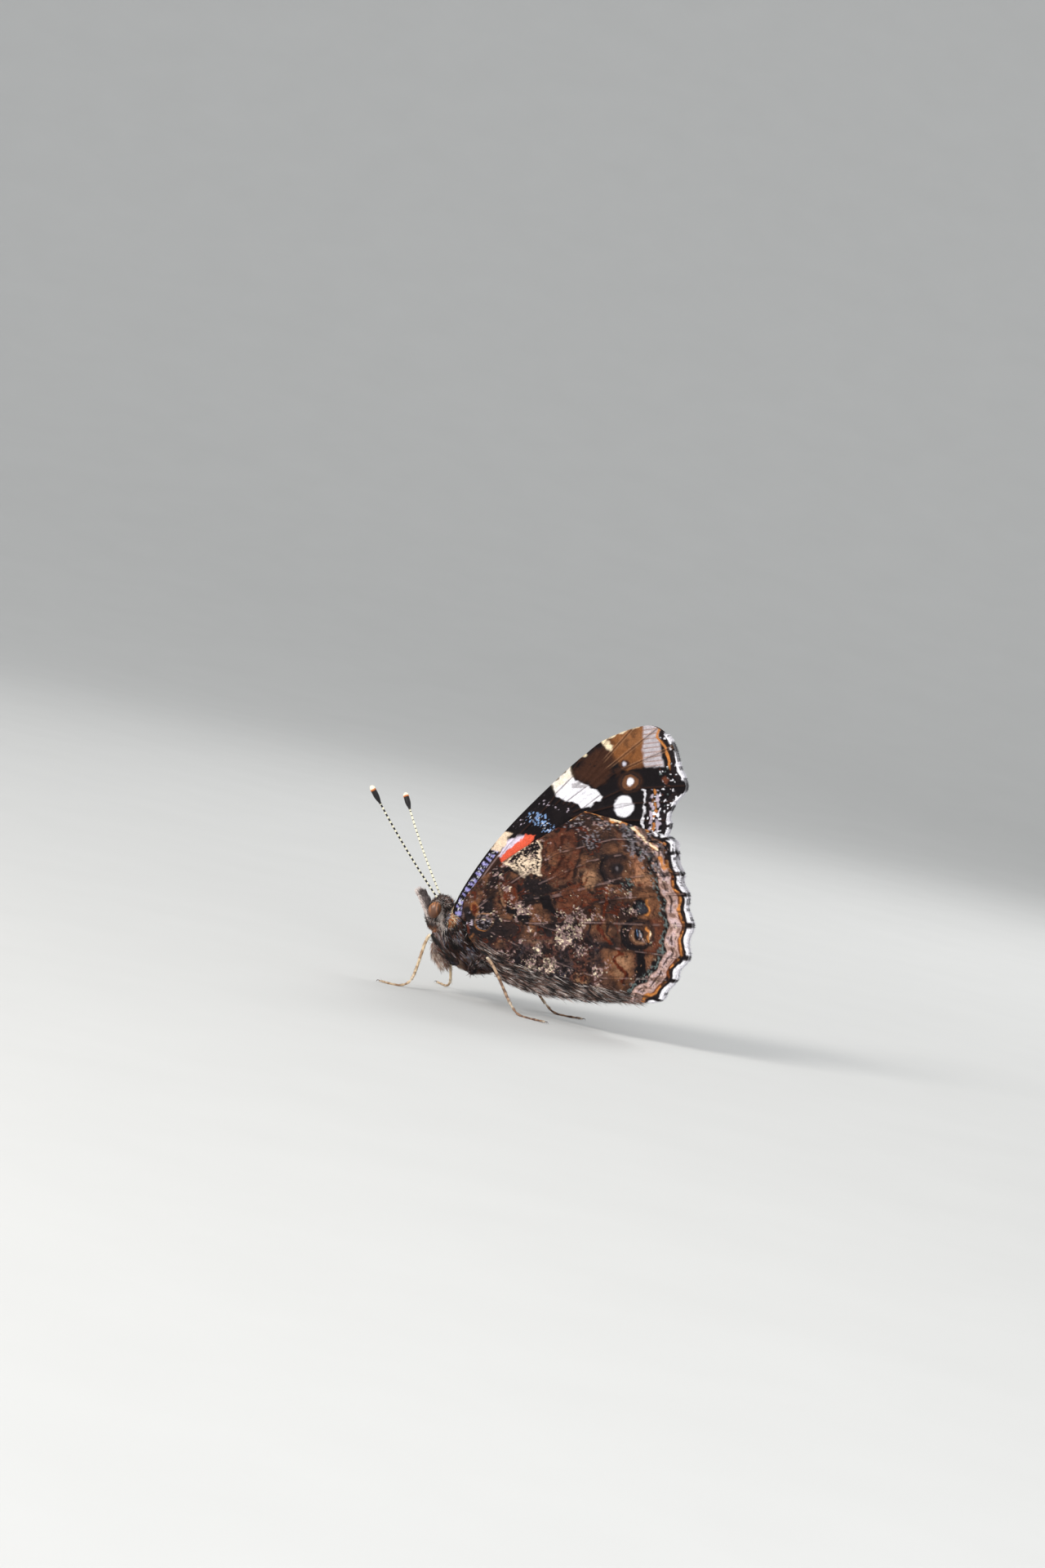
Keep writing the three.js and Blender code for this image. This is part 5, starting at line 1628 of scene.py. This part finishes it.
def fringe(kind, side):
    """One flat scale for each place along the outer margin."""
    word = "left" if side < 0 else "right"
    plan, spread = (FORE_PLAN, fore_spread) if kind == "forewing" else (HIND_PLAN, hind_spread)
    grid, place = wing_grid(plan, 1400, 8)
    low, high = OUTER_VEINS[kind]
    pick = np.where((place > low) & (place < high))[0]
    edge, inner = grid[pick, -1], grid[pick, -2]
    dice = np.random.RandomState(71 if kind == "forewing" else 72)
    out = unit(edge - inner) + 0.12 * dice.normal(size=edge.shape)
    run = unit(np.gradient(edge, axis=0))
    gate = np.abs(place[pick] - np.round(place[pick]))
    dark = 0.85 * smooth(*GATES[kind], gate)
    notch = smooth(0.62, 0.74, noise(place[pick] * 60, place[pick] * 0, 5, 261))
    dark = np.maximum(dark, 0.75 * notch)
    length = (0.16 + 0.18 * dice.rand(len(pick))) * (1 - 0.2 * dark)
    y = spread(edge[:, 0], edge[:, 1]) + FACE_DEPTHS[kind] - MEMBRANE / 2
    y = y + 0.05 * (dice.rand(len(y)) - 0.5)

    def lift(places, deeper=0.0):
        return np.column_stack([places[:, 0], side * (y + deeper), places[:, 1]])

    root = edge - out * FRINGE_ROOT
    tip = edge + out * length[:, None]
    middle, centre = edge + out * length[:, None] * 0.5, (root + tip) / 2
    half, bulge = run * FRINGE_HALF, run * FRINGE_HALF * 1.3
    corners = [lift(root - half), lift(root + half), lift(middle + bulge), lift(tip),
               lift(middle - bulge), lift(centre, FRINGE_RIDGE), lift(centre, -FRINGE_RIDGE)]
    points = np.stack(corners, axis=1).reshape(-1, 3)
    ring = [(0, 1), (1, 2), (2, 3), (3, 4), (4, 0)]
    faces = np.array([(a, b, 5) for a, b in ring] + [(b, a, 6) for a, b in ring])
    faces = (faces[None] + 7 * np.arange(len(pick))[:, None, None]).reshape(-1, 3)
    colour = WHITE * (1 - dark)[:, None] + SOOT * dark[:, None]
    colour = colour * (0.8 + 0.3 * dice.rand(len(pick)))[:, None]
    shades = np.repeat(colour, 7, axis=0)
    faces = faces if side < 0 else faces[:, ::-1]
    hem = hair_mesh(f"{kind}_{word}_fringe", points, faces, np.clip(shades, 0, 1))


for kind in ("forewing", "hindwing"):
    for side in (-1, 1):
        fringe(kind, side)

# %% [markdown]
# ## Hair on the wings
# Long grey and pinkish hair lies along the fold of the hindwing and over the wing roots.

# %% Wing hair
WING_HAIR = 3600
HAIR_ZONE = [(563, 1150), (585, 1152), (620, 1180), (700, 1206), (776, 1216), (776, 1226), (700, 1226),
             (590, 1212)]


def wing_hair(side):
    """Long hair in the zone of the fold, standing off the wing's own slope."""
    word = "left" if side < 0 else "right"
    dice = np.random.RandomState(81 if side < 0 else 82)
    grid, _ = wing_grid(HIND_PLAN, 300, 200)
    x, z = grid[..., 0].ravel(), grid[..., 1].ravel()
    y = hind_spread(x, z) + FACE_DEPTHS["hindwing"]
    u, v = to_sheet(x + SHIFT_X, -y, z)
    zone = patch_distance(u, v, HAIR_ZONE)
    (x_over, x_along), (z_over, z_along) = np.gradient(grid[..., 0]), np.gradient(grid[..., 1])
    cell = np.abs(x_over * z_along - z_over * x_along).ravel()
    weight = cell * smooth(8, -6, zone)
    pick = dice.choice(len(x), WING_HAIR, p=weight / weight.sum())
    step = 0.02
    gx = (hind_spread(x + step, z) - hind_spread(x - step, z))[pick] / (2 * step)
    gz = (hind_spread(x, z + step) - hind_spread(x, z - step))[pick] / (2 * step)
    normals = unit(np.column_stack([-gx, np.full(len(pick), 1.0), -gz])) * np.array([1, side, 1])
    jitter = 0.05 * dice.normal(size=(len(pick), 2))
    roots = np.column_stack([x[pick] + jitter[:, 0], side * y[pick], z[pick] + jitter[:, 1]])
    lie = np.column_stack([np.full(len(pick), 1.0), np.zeros(len(pick)), np.full(len(pick), -0.16)])
    steep = smooth(620, 570, u[pick])[:, None]
    lie = mix(lie, [0.8, 0, -0.45], steep) + 0.12 * dice.normal(size=lie.shape)
    strands = [DARK_HAIR, BROWN_HAIR, PINK_HAIR, GREY_HAIR, PALE_HAIR]
    colour = clumped_colours(dice, roots, strands, [0.42, 0.26, 0.17, 0.05, 0.10], 0.2, 241)
    light = smooth(0.06, 0.25, colour.mean(axis=1))
    uv = np.column_stack([(x[pick] + 8) / 28, z[pick] / 26])
    coat = tufts(f"coat_hindwing_{word}", roots, normals, lie, 0.8 + 0.9 * dice.rand(len(pick)),
                 0.02 + 0.016 * light, 5 + 9 * dice.rand(len(pick)), colour, uv, sink=0.01)


for side in (-1, 1):
    wing_hair(side)

# %% [markdown]
# ## Floor, light and camera
# The floor is plain and pale. The camera looks from the sheet's direction, and its roll
# stands for the slope that the animal sat on.

# %% Floor, light and camera
LENS = 100.0
SENSOR = 36.0
DISTANCE = SHEET_SIZE[1] / UNITS * LENS / SENSOR


def camera_axes():
    """Right, top and forward of the rolled camera, and its level axes."""
    along = Vector((math.cos(AZIMUTH), math.sin(AZIMUTH), 0))
    forward = Vector((-math.sin(AZIMUTH) * math.cos(ELEVATION), math.cos(AZIMUTH) * math.cos(ELEVATION),
                      -math.sin(ELEVATION)))
    up = along.cross(forward)
    right = along * math.cos(ROLL) + up * math.sin(ROLL)
    return right, -along * math.sin(ROLL) + up * math.cos(ROLL), forward, along, up


def make_camera():
    """Camera whose picture is the drawing sheet, and the place it looks at."""
    right, top, forward, along, up = camera_axes()
    du = (SHEET_SIZE[0] / 2 - SHEET_ORIGIN[0]) / UNITS
    dv = (SHEET_SIZE[1] / 2 - SHEET_ORIGIN[1]) / UNITS
    s = du * math.cos(ROLL) + dv * math.sin(ROLL)
    w = du * math.sin(ROLL) - dv * math.cos(ROLL)
    middle = along * s + up * w + Vector((SHEET_FLOOR[0] + SHIFT_X, 0, SHEET_FLOOR[1]))
    data = bpy.data.cameras.new("camera")
    data.lens, data.sensor_width, data.sensor_fit = LENS, SENSOR, "AUTO"
    data.clip_start, data.clip_end = 0.01, 10
    camera = bpy.data.objects.new("camera", data)
    turn = Matrix((right, top, -forward)).transposed()
    camera.matrix_world = Matrix.Translation((middle - forward * DISTANCE) * MM) @ turn.to_4x4()
    bpy.context.scene.collection.objects.link(camera)
    bpy.context.scene.camera = camera
    return middle


FOCUS = make_camera() * MM


def area_light(name, place, size, watts, colour):
    """Square light that faces the animal."""
    data = bpy.data.lights.new(name, "AREA")
    data.energy, data.size, data.color = watts, size, colour
    light = bpy.data.objects.new(name, data)
    light.location = Vector(place)
    light.rotation_euler = (FOCUS - light.location).to_track_quat("-Z", "Y").to_euler()
    bpy.context.scene.collection.objects.link(light)


area_light("key", (-0.24, -0.38, 0.30), 0.18, 2.1, (1.0, 0.97, 0.93))
area_light("fill", (0.30, -0.42, 0.14), 0.30, 0.85, (0.93, 0.96, 1.0))
area_light("rim", (0.10, 0.35, 0.30), 0.20, 0.8, (1.0, 1.0, 1.0))

world = bpy.data.worlds.new("studio")
world.use_nodes = True
world.node_tree.nodes["Background"].inputs["Color"].default_value = (0.86, 0.88, 0.9, 1)
world.node_tree.nodes["Background"].inputs["Strength"].default_value = 0.85
bpy.context.scene.world = world
bpy.context.scene.view_settings.view_transform = "Standard"
bpy.context.scene.view_settings.look = "None"

# The floor runs level under the animal and sweeps up far behind it, square to the camera.
SWEEP_START, SWEEP_RADIUS, SWEEP_TOP, SWEEP_WIDE = 0.5, 0.9, 3.0, 4.0
SWEEP_LENGTH, SWEEP_NEAR = 6.0, 2.0
bpy.ops.mesh.primitive_grid_add(x_subdivisions=2, y_subdivisions=120, size=2)
floor = bpy.context.object
floor.name = "floor"
for vertex in floor.data.vertices:
    run = (vertex.co.y + 1) / 2 * SWEEP_LENGTH - SWEEP_NEAR
    bend = min(max(run - SWEEP_START, 0), SWEEP_RADIUS * math.pi / 2)
    rise = max(run - SWEEP_START - SWEEP_RADIUS * math.pi / 2, 0)
    level = min(run, SWEEP_START) + SWEEP_RADIUS * math.sin(bend / SWEEP_RADIUS)
    height = SWEEP_RADIUS * (1 - math.cos(bend / SWEEP_RADIUS)) + min(rise, SWEEP_TOP)
    vertex.co = (vertex.co.x * SWEEP_WIDE, level, height)
floor.data.transform(Matrix.Rotation(AZIMUTH, 4, "Z"))
bpy.ops.object.shade_smooth()
floor_paint, tree, shader = new_material("floor_paint", {"Roughness": 0.85})
speckle = node(tree, "ShaderNodeTexNoise", Scale=60.0, Detail=3.0)
tint = node(tree, "ShaderNodeValToRGB")
tint.color_ramp.elements[0].color = (0.55, 0.55, 0.54, 1)
tint.color_ramp.elements[1].color = (0.58, 0.58, 0.57, 1)
where = node(tree, "ShaderNodeTexCoord")
tree.links.new(where.outputs["Object"], speckle.inputs["Vector"])
tree.links.new(speckle.outputs["Fac"], tint.inputs["Fac"])
tree.links.new(tint.outputs["Color"], shader.inputs["Base Color"])
floor.data.materials.append(floor_paint)
